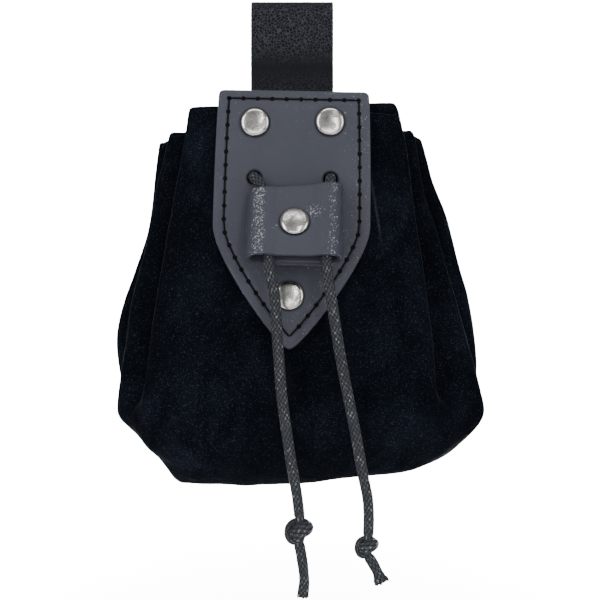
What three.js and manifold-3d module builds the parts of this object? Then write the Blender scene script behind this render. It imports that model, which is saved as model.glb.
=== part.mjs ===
import * as THREE from "three";
import { mergeVertices } from "three/addons/utils/BufferGeometryUtils.js";
import Module from "manifold-3d";

// Medieval belt pouch: a gathered velvet bag with a riveted leather plate, a drawstring and a belt loop.
// Millimetres, +Z up, the front faces -Y. The origin is the inside top of the belt loop.

const wasm = await Module();
wasm.setup();

// Driving dimensions
const clearance = 0.3;

const velvetWall = 1.5;
const bagWidth = 128;
const bagHeight = 129.1;
const bagDepth = 48;
const mouthDepth = 24;
const mouthDrop = 37.7;
const pleatTuck = 14;
const pleatCrease = 1.9;

const plateWidth = 52.9;
const plateHeight = 88.1;
const plateThickness = 3;
const plateRound = 0.5;
const plateTopDrop = 33.6;
const plateShift = 0.8;
const plateTilt = 8;
const plateLean = -1.05;
const plateFlare = 0.85;
const shoulderDrop = 46.5;
const topCornerRadius = 2.2;
const shoulderHandle = 9.5;
const tipHandleAcross = 10;
const tipHandleRise = 9;
const tipHalf = 2.4;
const tipRound = 1.4;
const tipPoint = 0.6;

const rivetCapRadius = 4.9;
const rivetCapHeight = 1.7;
const rivetFootRadius = 3.6;
const rivetFootHeight = 0.9;
const rivetShankRadius = 1.6;
const topRivetSpacing = 25.4;
const topRivetDrop = 10.85;
const topRivetShift = -0.35;
const topRivetRise = 0.7;
const tipRivetDrop = 70.2;
const tipRivetShift = -0.3;
const footChamfer = 0.3;

const cordDiameter = 3.6;
const cordHoleEase = 0.8;
const cordHoleSpacing = 25.7;
const cordHoleDrop = 30.1;

const sliderWidth = 31.8;
const sliderLength = 26.2;
const sliderLeather = 1.5;
const sliderDrop = 36.8;
const sliderShift = 1.05;
const sliderTilt = 19;
const sliderLap = 18;
const sliderSkew = 0.1;
const sliderRivetDrop = 14;
const sliderDip = 0.85;
const dipFlat = 5.5;
const dipEnd = 8.6;
const dipSteps = [-8.4, -7, -5.5, 0, 5.5, 7, 8.4];
const cordPastSlider = 0.4;
const channelLeft = { top: -9.9, bottom: -8 };
const channelRight = { top: 11.5, bottom: 10.8 };

// The cord's bend from the slider's top into its hole: share of the way across to the slider's channel,
// down from the hole and out from the plate's back.
const cordBend = [
  { share: 0.4, down: 2.4, out: 7.4 },
  { share: 0, down: 0.5, out: 5.6 },
  { share: 0, down: 0, out: 1.5 },
  { share: 0, down: 0, out: -2.2 },
];

const strapWidth = 29.2;
const strapThickness = 2;
const beltGap = 8;
const loopLength = 68;
const seamDrop = 53;
const bendDrop = 39;
const loopRivetSpacing = 15;
const loopRivetDrop = 57.5;

// Derived planes
const bagBack = -(beltGap / 2 + strapThickness + clearance);
const mouthFront = bagBack - mouthDepth;
const plateBackAtTop = mouthFront - clearance;
const halfBag = bagWidth / 2;
const cordRadius = cordDiameter / 2;
const cordHoleRadius = cordRadius + cordHoleEase;
const rivetHoleRadius = rivetShankRadius + clearance;
const layersUnderCord = 2 * sliderLeather + clearance;
const cordOverSlider = layersUnderCord + clearance + cordRadius;
const sliderThickness = cordOverSlider + cordRadius + clearance + sliderLeather;

// Each row is a level section of the bag. down is a share of bagHeight, the six reaches are shares
// of half of bagWidth, tuck is a share of pleatTuck, bulge and back are shares of bagDepth past the
// plate's plane and past the back plane, pleated goes from 1, folded, to 0, round, and crease is
// how far each fold's rounding runs, in shares of pleatCrease.
const sections = [
  {
    down: 0.0, frontLeft: 0.55, middleLeft: 0.661, backLeft: 0.725,
    frontRight: 0.567, middleRight: 0.664, backRight: 0.702,
    tuck: 0.95, bulge: 0, back: 0, pleated: 1, crease: 1,
  },
  {
    down: 0.1, frontLeft: 0.575, middleLeft: 0.69, backLeft: 0.739,
    frontRight: 0.608, middleRight: 0.68, backRight: 0.737,
    tuck: 1, bulge: 0, back: 0, pleated: 1, crease: 1,
  },
  {
    down: 0.2, frontLeft: 0.607, middleLeft: 0.726, backLeft: 0.752,
    frontRight: 0.631, middleRight: 0.705, backRight: 0.781,
    tuck: 1, bulge: 0, back: 0, pleated: 1, crease: 1.1,
  },
  {
    down: 0.34, frontLeft: 0.663, middleLeft: 0.771, backLeft: 0.795,
    frontRight: 0.677, middleRight: 0.777, backRight: 0.877,
    tuck: 0.9, bulge: 0, back: 0.005, pleated: 1, crease: 1.2,
  },
  {
    down: 0.48, frontLeft: 0.708, middleLeft: 0.841, backLeft: 0.891,
    frontRight: 0.713, middleRight: 0.862, backRight: 0.951,
    tuck: 0.75, bulge: 0, back: 0.06, pleated: 1, crease: 1.5,
  },
  {
    down: 0.6, frontLeft: 0.741, middleLeft: 0.888, backLeft: 0.964,
    frontRight: 0.74, middleRight: 0.935, backRight: 1.01,
    tuck: 0.58, bulge: 0.02, back: 0.125, pleated: 0.97, crease: 2,
  },
  {
    down: 0.7, frontLeft: 0.759, middleLeft: 0.919, backLeft: 0.966,
    frontRight: 0.747, middleRight: 0.987, backRight: 1.037,
    tuck: 0.42, bulge: 0.05, back: 0.16, pleated: 0.88, crease: 2.6,
  },
  {
    down: 0.77, frontLeft: 0.775, middleLeft: 0.92, backLeft: 0.964,
    frontRight: 0.735, middleRight: 1.005, backRight: 1.045,
    tuck: 0.28, bulge: 0.065, back: 0.165, pleated: 0.62, crease: 3.4,
  },
  {
    down: 0.82, frontLeft: 0.775, middleLeft: 0.905, backLeft: 0.948,
    frontRight: 0.72, middleRight: 1.01, backRight: 1.04,
    tuck: 0.13, bulge: 0.06, back: 0.15, pleated: 0.3, crease: 4.6,
  },
  {
    down: 0.86, frontLeft: 0.74, middleLeft: 0.86, backLeft: 0.865,
    frontRight: 0.72, middleRight: 0.97, backRight: 0.985,
    tuck: 0.04, bulge: 0.04, back: 0.115, pleated: 0.08, crease: 6.5,
  },
  {
    down: 0.9, frontLeft: 0.7, middleLeft: 0.8, backLeft: 0.793,
    frontRight: 0.7, middleRight: 0.9, backRight: 0.897,
    tuck: 0, bulge: 0, back: 0.05, pleated: 0, crease: 9,
  },
  {
    down: 0.935, frontLeft: 0.65, middleLeft: 0.73, backLeft: 0.725,
    frontRight: 0.65, middleRight: 0.81, backRight: 0.805,
    tuck: 0, bulge: -0.065, back: -0.025, pleated: 0, crease: 9,
  },
  {
    down: 0.965, frontLeft: 0.6, middleLeft: 0.67, backLeft: 0.668,
    frontRight: 0.5, middleRight: 0.63, backRight: 0.63,
    tuck: 0, bulge: -0.15, back: -0.115, pleated: 0, crease: 9,
  },
  {
    down: 0.985, frontLeft: 0.56, middleLeft: 0.63, backLeft: 0.632,
    frontRight: 0.25, middleRight: 0.32, backRight: 0.32,
    tuck: 0, bulge: -0.235, back: -0.2, pleated: 0, crease: 9,
  },
  {
    down: 1.0, frontLeft: 0.52, middleLeft: 0.59, backLeft: 0.59,
    frontRight: 0.03, middleRight: 0.04, backRight: 0.04,
    tuck: 0, bulge: -0.335, back: -0.3, pleated: 0, crease: 9,
  },
];

// The corners of one side of a section, from the front to the back. reach names the row's column,
// inward is a share of the tuck, depth is the place between front and back where the bag is pleated,
// angle is the place round the oval where it is round, and the two drops lower the rim, in
// shares of bagHeight.
const corners = [
  { reach: "shoulder", inward: 0, depth: 0.0, angle: 27, leftDrop: 0.0, rightDrop: 0.008 },
  { reach: "front", inward: 0, depth: 0.03, angle: 50, leftDrop: 0.002, rightDrop: 0.022 },
  { reach: "front", inward: 0, depth: 0.24, angle: 60, leftDrop: 0.006, rightDrop: 0.0 },
  { reach: "front", inward: 1, depth: 0.26, angle: 68, leftDrop: 0.03, rightDrop: 0.03 },
  { reach: "front", inward: 1, depth: 0.33, angle: 76, leftDrop: 0.05, rightDrop: 0.06 },
  { reach: "middle", inward: 0, depth: 0.35, angle: 84, leftDrop: 0.072, rightDrop: 0.088 },
  { reach: "middle", inward: 0, depth: 0.53, angle: 92, leftDrop: 0.078, rightDrop: 0.06 },
  { reach: "middle", inward: 1.25, depth: 0.55, angle: 100, leftDrop: 0.08, rightDrop: 0.07 },
  { reach: "middle", inward: 1.25, depth: 0.62, angle: 108, leftDrop: 0.085, rightDrop: 0.075 },
  { reach: "back", inward: 0, depth: 0.64, angle: 117, leftDrop: 0.094, rightDrop: 0.075 },
  { reach: "back", inward: 0, depth: 0.95, angle: 133, leftDrop: 0.09, rightDrop: 0.07 },
  { reach: "backPanel", inward: 0, depth: 1.0, angle: 155, leftDrop: 0.02, rightDrop: 0.02 },
];

const levels = 15;
const arcSteps = 2;
const rimFade = 0.35;
const ovalPower = 2.3;
const lowestAcross = -0.28;
const bulgeRamp = 22;
const shoulderMargin = 1.5;
const shoulderShare = 0.9;
const backPanelShare = 0.62;
const creaseShare = 0.46;

// Inside the bag the cord runs level and goes straight back through the pleats. One side's points are
// [inward, y], with inward measured from where the cord passes the pleats.
const heldDrop = 63.6;
const passShare = 0.540625;
const heldSide = [
  [21, -31.3], [18.6, -30.7], [14.6, -30.8], [7.6, -30.9], [3.6, -31], [1.2, -30.6], [0.1, -29.2],
  [0, -26.5], [0, -20], [0, -14.5], [0.9, -11.6], [3.6, -10.2], [8.6, -9.95], [20.6, -9.95],
];
const passFront = -30;
const passBack = -12;

// The free ends of the cord, from below the slider down to each knot, and on to each tail's end.
const leftFall = [
  [-5.5, -57.5, -102.5], [-4.9, -56.5, -113.1], [-4.1, -54.8, -123.8], [-3.3, -53.2, -134.6],
  [-1.2, -52, -150.3], [0.4, -51.8, -160.8], [1.7, -51.6, -167.8], [2.6, -51.5, -175.2],
];
const leftKnot = { centre: [2.3, -51.5, -180.3], size: [9.6, 8.6, 9.4] };
const leftTail = [[2.6, -51.5, -185.4], [3.5, -51.4, -190], [4.1, -51.3, -196.5], [3.8, -51.2, -202.4]];
const rightFall = [
  [12.9, -57.5, -102.5], [14.5, -56.5, -113.1], [16.3, -54.8, -123.8], [18.4, -53.2, -134.6],
  [20.9, -52, -147], [22.1, -51.8, -153.6], [23.7, -51.6, -162.5], [25.1, -51.5, -169.4],
  [25.5, -51.5, -176.7], [25.3, -51.5, -181.3],
];
const rightKnot = { centre: [24.7, -51.5, -185.5], size: [8, 7.8, 7.8] };
const rightTail = [[25.9, -51.5, -189.7], [27.2, -51.4, -191.6], [28.6, -51.3, -194.2], [30, -51.2, -198.2]];
const fallStart = 3;

// A knot is a round lump wrapped by three turns of the cord, each turned across and round.
const knotSpan = 9.3;
const knotCore = 3.4;
const knotRing = 2.95;
const knotCord = 1.7;
const knotTurns = [
  { across: 90, round: 0 },
  { across: 160, round: 25 },
  { across: 25, round: 60 },
];

// How finely the round pieces are divided
const cordSides = 8;
const barSides = 14;
const rivetSides = 16;
const domeSteps = 3;
const domeFlatness = 0.8;
const foldSteps = 8;
const bendSteps = 6;
const curveSteps = 8;
const knotSides = 6;
const knotSteps = 10;
const heldSteps = 66;
const fallSteps = 17;
const tailSteps = 6;
const cutReach = 4;

const degrees = (angle) => THREE.MathUtils.degToRad(angle);
const mix = THREE.MathUtils.lerp;
const vector = (x, y, z) => new THREE.Vector3(x, y, z);
const vectors = (points) => points.map((point) => vector(...point));

// Leather, velvet, metal and cord
function material(color, roughness, metalness = 0) {
  return new THREE.MeshStandardMaterial({ color, roughness, metalness });
}

const velvet = material(0x0b0d14, 0.95);
const plateLeather = material(0x2e3036, 0.5);
const strapLeather = material(0x17181c, 0.45);
const nickel = material(0xb9b7b0, 0.25, 1);
const waxedCord = material(0x1e1f22, 0.6);

// Solids
function solidOf(geometry) {
  const bare = geometry.index ? geometry.toNonIndexed() : geometry.clone();
  bare.deleteAttribute("normal");
  bare.deleteAttribute("uv");
  const merged = mergeVertices(bare, 1e-4);
  return new wasm.Manifold(
    new wasm.Mesh({
      numProp: 3,
      vertProperties: merged.attributes.position.array,
      triVerts: new Uint32Array(merged.index.array),
    }),
  );
}

function geometryOf(solid) {
  const mesh = solid.getMesh();
  const geometry = new THREE.BufferGeometry();
  geometry.setAttribute("position", new THREE.BufferAttribute(new Float32Array(mesh.vertProperties), 3));
  geometry.setIndex(new THREE.BufferAttribute(new Uint32Array(mesh.triVerts), 1));
  geometry.computeVertexNormals();
  return geometry;
}

function cut(geometry, tools) {
  return geometryOf(tools.reduce((solid, tool) => solid.subtract(solidOf(tool)), solidOf(geometry)));
}

function joined(geometries) {
  const [first, ...others] = geometries.map(solidOf);
  return geometryOf(others.reduce((solid, piece) => solid.add(piece), first));
}

function circle(radius, sides) {
  const points = [];
  for (let i = 0; i < sides; i += 1) {
    const turn = (2 * Math.PI * i) / sides;
    points.push(new THREE.Vector2(radius * Math.cos(turn), radius * Math.sin(turn)));
  }
  return new THREE.Shape(points);
}

function tube(points, radius, steps) {
  const extrudePath = new THREE.CatmullRomCurve3(points, false, "centripetal");
  return new THREE.ExtrudeGeometry(circle(radius, cordSides), { extrudePath, steps, bevelEnabled: false });
}

// A closed outline round an open line of points, half of the thickness to each side of it.
function stripShape(line, thickness) {
  const offset = (side) =>
    line.map((point, i) => {
      const before = line[Math.max(i - 1, 0)];
      const after = line[Math.min(i + 1, line.length - 1)];
      const along = after.clone().sub(before).normalize();
      return new THREE.Vector2(point.x - along.y * side, point.y + along.x * side);
    });
  return new THREE.Shape([...offset(thickness / 2), ...offset(-thickness / 2).reverse()]);
}

function arc(centreX, centreY, radiusX, radiusY, from, to) {
  const points = [];
  for (let i = 0; i <= foldSteps; i += 1) {
    const turn = degrees(mix(from, to, i / foldSteps));
    points.push(new THREE.Vector2(centreX + radiusX * Math.cos(turn), centreY + radiusY * Math.sin(turn)));
  }
  return points;
}

// A round bar along z, from one height to another.
function bar(radius, low, high) {
  return new THREE.CylinderGeometry(radius, radius, high - low, barSides)
    .rotateX(Math.PI / 2)
    .translate(0, 0, (low + high) / 2);
}

// A rivet along z: its foot's top face is at 0 and its cap starts at the given height.
function rivetGeometry(stack) {
  const profile = [
    [0, -rivetFootHeight],
    [rivetFootRadius - footChamfer, -rivetFootHeight],
    [rivetFootRadius, footChamfer - rivetFootHeight],
    [rivetFootRadius, 0],
    [rivetShankRadius, 0],
    [rivetShankRadius, stack],
    [rivetCapRadius, stack],
  ];
  for (let i = 1; i <= domeSteps; i += 1) {
    const turn = (Math.PI / 2) * (i / domeSteps);
    profile.push([rivetCapRadius * Math.cos(turn) ** domeFlatness, stack + rivetCapHeight * Math.sin(turn)]);
  }
  profile[profile.length - 1][0] = 0;
  const points = profile.map(([radius, height]) => new THREE.Vector2(radius, height));
  return new THREE.LatheGeometry(points, rivetSides).rotateX(Math.PI / 2);
}

// A smooth value of one column of the sections table, at any share of the way down.
function columnAt(name, down) {
  const last = sections.length - 1;
  let row = 0;
  while (row < last - 1 && sections[row + 1].down <= down) row += 1;
  const slopeAt = (i) => {
    const before = sections[Math.max(i - 1, 0)];
    const after = sections[Math.min(i + 1, last)];
    return (after[name] - before[name]) / (after.down - before.down);
  };
  const low = sections[row];
  const high = sections[row + 1];
  const span = high.down - low.down;
  const t = Math.min((down - low.down) / span, 1);
  const rise = high[name] - low[name];
  const enter = slopeAt(row) * span;
  const leave = slopeAt(row + 1) * span;
  const square = 3 * rise - 2 * enter - leave;
  const cube = enter + leave - 2 * rise;
  return low[name] + enter * t + square * t * t + cube * t * t * t;
}

// The plate's frame: x across, y up the plate, z out of its front.
const plateFrame = new THREE.Group();
plateFrame.position.set(plateShift, plateBackAtTop, -plateTopDrop);
plateFrame.rotation.set(degrees(90 - plateTilt), 0, degrees(plateLean));
plateFrame.updateMatrixWorld(true);

const sliderFrame = new THREE.Group();
sliderFrame.position.set(sliderShift, -sliderDrop, plateThickness + clearance);
sliderFrame.rotation.set(degrees(-sliderTilt), 0, 0);
plateFrame.add(sliderFrame);
plateFrame.updateMatrixWorld(true);

const onPlate = (x, y, z) => vector(x, y, z).applyMatrix4(plateFrame.matrixWorld);
const onSlider = (x, y, z) => vector(x, y, z).applyMatrix4(sliderFrame.matrixWorld);
const plateBackAt = (z) => plateBackAtTop + (z + plateTopDrop) * Math.tan(degrees(plateTilt));

// The bag's corner points at one level, going round from the front centre by the left.
function bagLevel(down) {
  const at = (name) => columnAt(name, down);
  const z = -mouthDrop - bagHeight * down;
  const plateTip = -plateTopDrop - plateHeight;
  const below = THREE.MathUtils.smoothstep(plateTip - z, 0, bulgeRamp);
  const bulge = at("bulge");
  const front = plateBackAt(z) + clearance - bagDepth * (bulge > 0 ? bulge * below : bulge);
  const back = bagBack + bagDepth * at("back");
  const pleated = at("pleated");
  const fade = Math.max(1 - down / rimFade, 0) ** 2;
  const sidePoints = (side, sign) => {
    const reaches = {
      shoulder: Math.min(plateWidth / 2 + shoulderMargin, shoulderShare * halfBag * at("front" + side)),
      front: halfBag * at("front" + side),
      middle: halfBag * at("middle" + side),
      back: halfBag * at("back" + side),
      backPanel: backPanelShare * halfBag * at("back" + side),
    };
    return corners.map((corner) => {
      const foldedX = reaches[corner.reach] - corner.inward * pleatTuck * at("tuck");
      const foldedY = mix(front, back, corner.depth);
      const turn = degrees(corner.angle);
      const across = Math.abs(Math.sin(turn)) ** (2 / ovalPower);
      const deep = Math.sign(Math.cos(turn)) * Math.abs(Math.cos(turn)) ** (2 / ovalPower);
      const ovalX = reaches.back * across;
      const ovalY = (front + back) / 2 - ((back - front) / 2) * deep;
      const drop = side === "Left" ? corner.leftDrop : corner.rightDrop;
      return vector(
        sign * mix(ovalX, foldedX, pleated),
        mix(ovalY, foldedY, pleated),
        z - drop * bagHeight * fade,
      );
    });
  };
  const left = sidePoints("Left", -1);
  const right = sidePoints("Right", 1).reverse();
  const middle = (halfBag * (at("backRight") - at("backLeft")) * (1 - pleated)) / 2;
  return {
    points: [vector(middle, front, z), ...left, vector(middle, back, z), ...right],
    crease: pleatCrease * at("crease"),
  };
}

// A level's outline with each corner rounded, always with the same number of points.
function roundedLevel({ points, crease }) {
  const outline = [];
  points.forEach((corner, i) => {
    const before = points[(i + points.length - 1) % points.length];
    const after = points[(i + 1) % points.length];
    const share = (other) => Math.min(crease / corner.distanceTo(other), creaseShare);
    const enter = corner.clone().lerp(before, share(before));
    const leave = corner.clone().lerp(after, share(after));
    for (let step = 0; step <= arcSteps; step += 1) {
      const t = step / arcSteps;
      const first = enter.clone().lerp(corner, t);
      outline.push(first.lerp(corner.clone().lerp(leave, t), t));
    }
  });
  return outline;
}

// The hollow bag: outer rings from the rim down, a closed bottom, and the same rings again one wall inwards.
function bagGeometry() {
  const outer = [];
  for (let level = 0; level < levels; level += 1) {
    outer.push(roundedLevel(bagLevel(Math.sin((Math.PI / 2) * (level / levels)))));
  }
  const around = outer[0].length;
  const lowest = bagLevel(1).points;
  const bottomDeep = (lowest[0].y + lowest[corners.length + 1].y) / 2;
  const bottom = vector(lowestAcross * halfBag, bottomDeep, lowest[0].z);
  const ringPoint = (rings, level, i) => (level < levels ? rings[level][(i + around) % around] : bottom);
  const inner = outer.map((ring, level) =>
    ring.map((point, i) => {
      const along = ringPoint(outer, level, i + 1).clone().sub(ringPoint(outer, level, i - 1));
      const down = ringPoint(outer, level + 1, i).clone().sub(ringPoint(outer, Math.max(level - 1, 0), i));
      const inward = down.cross(along).normalize();
      return point.clone().addScaledVector(inward, velvetWall);
    }),
  );
  const innerBottom = bottom.clone().setZ(bottom.z + velvetWall);
  const positions = [];
  const quad = (a, b, c, d) => {
    for (const point of [a, b, c, a, c, d]) positions.push(point.x, point.y, point.z);
  };
  const triangle = (a, b, c) => {
    for (const point of [a, b, c]) positions.push(point.x, point.y, point.z);
  };
  for (let i = 0; i < around; i += 1) {
    const next = (i + 1) % around;
    for (let level = 0; level + 1 < levels; level += 1) {
      quad(outer[level][i], outer[level][next], outer[level + 1][next], outer[level + 1][i]);
      quad(inner[level][i], inner[level + 1][i], inner[level + 1][next], inner[level][next]);
    }
    triangle(outer[levels - 1][i], outer[levels - 1][next], bottom);
    triangle(inner[levels - 1][i], innerBottom, inner[levels - 1][next]);
    quad(outer[0][i], inner[0][i], inner[0][next], outer[0][next]);
  }
  const geometry = new THREE.BufferGeometry();
  geometry.setAttribute("position", new THREE.BufferAttribute(new Float32Array(positions), 3));
  return geometry;
}

// The plate: square at the top, with long curved sides below the shoulders that meet in a rounded tip.
function plateGeometry() {
  const half = plateWidth / 2;
  const top = half - plateFlare;
  const handle = -shoulderDrop - shoulderHandle;
  const tipHandle = tipHandleRise - plateHeight;
  const tipStart = tipRound - plateHeight;
  const outline = new THREE.Shape();
  outline.moveTo(-top + topCornerRadius, 0);
  outline.quadraticCurveTo(-top, 0, -top, -topCornerRadius);
  outline.quadraticCurveTo(-half, -shoulderDrop / 2, -half, -shoulderDrop);
  outline.bezierCurveTo(-half, handle, -tipHandleAcross, tipHandle, -tipHalf, tipStart);
  outline.quadraticCurveTo(0, -plateHeight - tipPoint, tipHalf, tipStart);
  outline.bezierCurveTo(tipHandleAcross, tipHandle, half, handle, half, -shoulderDrop);
  outline.quadraticCurveTo(half, -shoulderDrop / 2, top, -topCornerRadius);
  outline.quadraticCurveTo(top, 0, top - topCornerRadius, 0);
  const depth = plateThickness - 2 * plateRound;
  const slab = new THREE.ExtrudeGeometry(outline, {
    depth,
    curveSegments: curveSteps,
    bevelThickness: plateRound,
    bevelSize: plateRound,
    bevelOffset: -plateRound,
    bevelSegments: 1,
  }).translate(0, 0, plateRound);
  const through = (radius, x, y) => bar(radius, -cutReach, plateThickness + cutReach).translate(x, y, 0);
  return cut(slab, [
    ...plateRivets.map(({ x, y }) => through(rivetHoleRadius, x, y)),
    ...cordHoles.map(({ x, y }) => through(cordHoleRadius, x, y)),
  ]);
}

// The sleeve: a strip whose two ends lap over each other behind the cords.
function sliderGeometry() {
  const half = sliderWidth / 2 - sliderLeather / 2;
  const rear = sliderLeather / 2;
  const inner = rear + sliderLeather + clearance;
  const front = sliderThickness - sliderLeather / 2;
  const leftRadius = (front - rear) / 2;
  const rightRadius = (front - inner) / 2;
  const point = (x, y) => new THREE.Vector2(x, y);
  const line = [point(sliderLap / 2, rear), point(0, rear)];
  line.push(...arc(-half + leftRadius, rear + leftRadius, leftRadius, leftRadius, 270, 90));
  for (const x of dipSteps) {
    line.push(point(x, front - sliderDip * (1 - THREE.MathUtils.smoothstep(Math.abs(x), dipFlat, dipEnd))));
  }
  line.push(...arc(half - rightRadius, inner + rightRadius, rightRadius, rightRadius, 90, -90));
  line.push(point(0, inner), point(-sliderLap / 2, inner));
  const sleeve = new THREE.ExtrudeGeometry(stripShape(line, sliderLeather), {
    depth: sliderLength,
    steps: 2,
    bevelEnabled: false,
  }).rotateX(Math.PI / 2);
  const place = sleeve.attributes.position;
  for (let i = 0; i < place.count; i += 1) {
    const y = place.getY(i);
    place.setY(i, y + sliderSkew * place.getX(i) * (1 + y / sliderLength));
  }
  const rivetHole = bar(rivetHoleRadius, -cutReach, sliderThickness + cutReach);
  return cut(sleeve, [rivetHole.translate(0, -sliderRivetDrop, 0)]);
}

// The strap: up behind the bag, over the belt, down again and against itself.
function strapGeometry() {
  const run = (beltGap + strapThickness) / 2;
  const lapped = -run + strapThickness + clearance;
  const line = [new THREE.Vector2(lapped, -loopLength), new THREE.Vector2(lapped, -seamDrop)];
  for (let i = 1; i < bendSteps; i += 1) {
    const t = i / bendSteps;
    const share = THREE.MathUtils.smoothstep(t, 0, 1);
    line.push(new THREE.Vector2(mix(lapped, run, share), mix(-seamDrop, -bendDrop, t)));
  }
  line.push(new THREE.Vector2(run, -bendDrop));
  line.push(...arc(0, -beltGap / 2, run, run, 0, 180));
  line.push(new THREE.Vector2(-run, -loopLength));
  const outline = stripShape(line, strapThickness);
  const strap = new THREE.ExtrudeGeometry(outline, { depth: strapWidth, bevelEnabled: false });
  strap.translate(0, 0, -strapWidth / 2);
  strap.applyMatrix4(new THREE.Matrix4().makeBasis(vector(0, 1, 0), vector(0, 0, 1), vector(1, 0, 0)));
  return cut(strap, loopRivets.map((x) => alongBack(bar(rivetHoleRadius, -cutReach, 3 * cutReach), x)));
}

// Turns a piece that was made along z to point out of the bag's back, from the back panel's plane.
function alongBack(geometry, x) {
  return geometry.rotateX(-Math.PI / 2).translate(x, bagBack, -loopRivetDrop);
}

function knotGeometry({ centre, size }) {
  const rings = knotTurns.map(({ across, round }) => {
    const ring = new THREE.TorusGeometry(knotRing, knotCord, knotSides, knotSteps);
    return ring.rotateX(degrees(across)).rotateZ(degrees(round));
  });
  const lump = joined([new THREE.IcosahedronGeometry(knotCore, 1), ...rings]);
  return lump.scale(...size.map((span) => span / knotSpan)).translate(...centre);
}

const plateRivets = [
  { name: "plate_rivet_left", x: topRivetShift - topRivetSpacing / 2, y: -topRivetDrop - topRivetRise / 2 },
  { name: "plate_rivet_right", x: topRivetShift + topRivetSpacing / 2, y: -topRivetDrop + topRivetRise / 2 },
  { name: "plate_rivet_tip", x: tipRivetShift, y: -tipRivetDrop },
];
const cordHoles = [
  { x: -cordHoleSpacing / 2, y: -cordHoleDrop },
  { x: cordHoleSpacing / 2, y: -cordHoleDrop },
];
const loopRivets = [-loopRivetSpacing / 2, loopRivetSpacing / 2];
const plateFoot = -(2 * clearance + velvetWall);

// The bag's holes: rivets and cord through the front, rivets through the back, cord through the pleats.
const frontCutters = [
  ...plateRivets.map(({ x, y }) => bar(rivetHoleRadius, -cutReach, cutReach).translate(x, y, 0)),
  ...cordHoles.map(({ x, y }) => bar(cordHoleRadius, -cutReach, cutReach).translate(x, y, 0)),
].map((cutter) => cutter.applyMatrix4(plateFrame.matrixWorld));
const backCutters = loopRivets.map((x) => alongBack(bar(rivetHoleRadius, -cutReach, cutReach), x));
const pleatPass = passShare * halfBag;
const pleatCutters = [-pleatPass, pleatPass].map((x) =>
  bar(cordHoleRadius, passFront, passBack).rotateX(-Math.PI / 2).translate(x, 0, -heldDrop),
);
const bag = cut(bagGeometry(), [...frontCutters, ...backCutters, ...pleatCutters]);

// The cord: one held stretch from the bottom of the slider up, round the mouth and back, and two free ends.
function heldPoints() {
  const outside = ({ x, y }, channel) => [
    onSlider(channel.bottom, -sliderLength - cordPastSlider, cordOverSlider),
    onSlider(mix(channel.bottom, channel.top, 0.5), -sliderLength / 2, cordOverSlider),
    onSlider(channel.top, -cordRadius, cordOverSlider),
    ...cordBend.map(({ share, down, out }) => {
      return onPlate(mix(x, channel.top + sliderShift, share), y - down, out);
    }),
  ];
  const inside = (sign) => heldSide.map(([inward, y]) => vector(sign * (pleatPass - inward), y, -heldDrop));
  const left = [...outside(cordHoles[0], channelLeft), ...inside(-1)];
  const right = [...outside(cordHoles[1], channelRight), ...inside(1)];
  return [...left, ...right.reverse()];
}

function freePoints(channel, fall) {
  const exit = -sliderLength - cordPastSlider - clearance;
  return [
    onSlider(channel.bottom, exit, cordOverSlider),
    onSlider(channel.bottom, exit - fallStart, cordOverSlider),
    ...vectors(fall),
  ];
}

// Assembly
const pouch = new THREE.Group();
pouch.name = "medieval_belt_pouch";

function add(name, geometry, surface, parent = pouch) {
  const piece = new THREE.Mesh(geometry, surface);
  piece.name = name;
  parent.add(piece);
}

pouch.add(plateFrame);
add("bag_body", bag, velvet);
add("front_plate", plateGeometry(), plateLeather, plateFrame);
for (const { name, x, y } of plateRivets) {
  const rivet = rivetGeometry(plateThickness + clearance - plateFoot);
  add(name, rivet.translate(x, y, plateFoot), nickel, plateFrame);
}
add("cord_slider", sliderGeometry(), plateLeather, sliderFrame);
const sliderStack = sliderThickness - sliderDip + 2 * clearance;
const sliderRivet = rivetGeometry(sliderStack).translate(0, -sliderRivetDrop, -clearance);
add("slider_rivet", sliderRivet, nickel, sliderFrame);
add("belt_loop", strapGeometry(), strapLeather);
const loopStack = velvetWall + 2 * strapThickness + 4 * clearance;
loopRivets.forEach((x, i) => {
  const rivet = rivetGeometry(loopStack).translate(0, 0, -velvetWall - clearance);
  add(["loop_rivet_left", "loop_rivet_right"][i], alongBack(rivet, x), nickel);
});
add("drawstring", tube(heldPoints(), cordRadius, heldSteps), waxedCord);
add("left_cord", tube(freePoints(channelLeft, leftFall), cordRadius, fallSteps), waxedCord);
add("right_cord", tube(freePoints(channelRight, rightFall), cordRadius, fallSteps), waxedCord);
add("left_knot", knotGeometry(leftKnot), waxedCord);
add("right_knot", knotGeometry(rightKnot), waxedCord);
add("left_tail", tube(vectors(leftTail), cordRadius, tailSteps), waxedCord);
add("right_tail", tube(vectors(rightTail), cordRadius, tailSteps), waxedCord);

export default pouch;
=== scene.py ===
import math

import bmesh
import bpy
from mathutils import Matrix, Vector, noise


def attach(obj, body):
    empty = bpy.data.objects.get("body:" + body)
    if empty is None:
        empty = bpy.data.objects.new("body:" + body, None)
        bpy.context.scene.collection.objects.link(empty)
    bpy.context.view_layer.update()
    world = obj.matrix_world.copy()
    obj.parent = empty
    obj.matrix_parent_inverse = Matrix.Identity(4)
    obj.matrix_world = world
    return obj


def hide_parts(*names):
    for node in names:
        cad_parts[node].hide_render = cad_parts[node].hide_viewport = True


# Medieval belt pouch: gathered velvet, a stitched leather plate, a waxed drawstring and a belt loop.
# Every piece is made in millimetres and set down in metres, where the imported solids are.

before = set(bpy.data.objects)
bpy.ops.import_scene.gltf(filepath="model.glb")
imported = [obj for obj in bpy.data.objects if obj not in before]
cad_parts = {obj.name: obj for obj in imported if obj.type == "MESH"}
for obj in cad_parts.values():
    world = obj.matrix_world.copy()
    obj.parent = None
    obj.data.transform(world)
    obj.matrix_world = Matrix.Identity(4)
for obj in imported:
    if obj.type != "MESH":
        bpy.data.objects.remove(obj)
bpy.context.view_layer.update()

MM = 0.001

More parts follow.
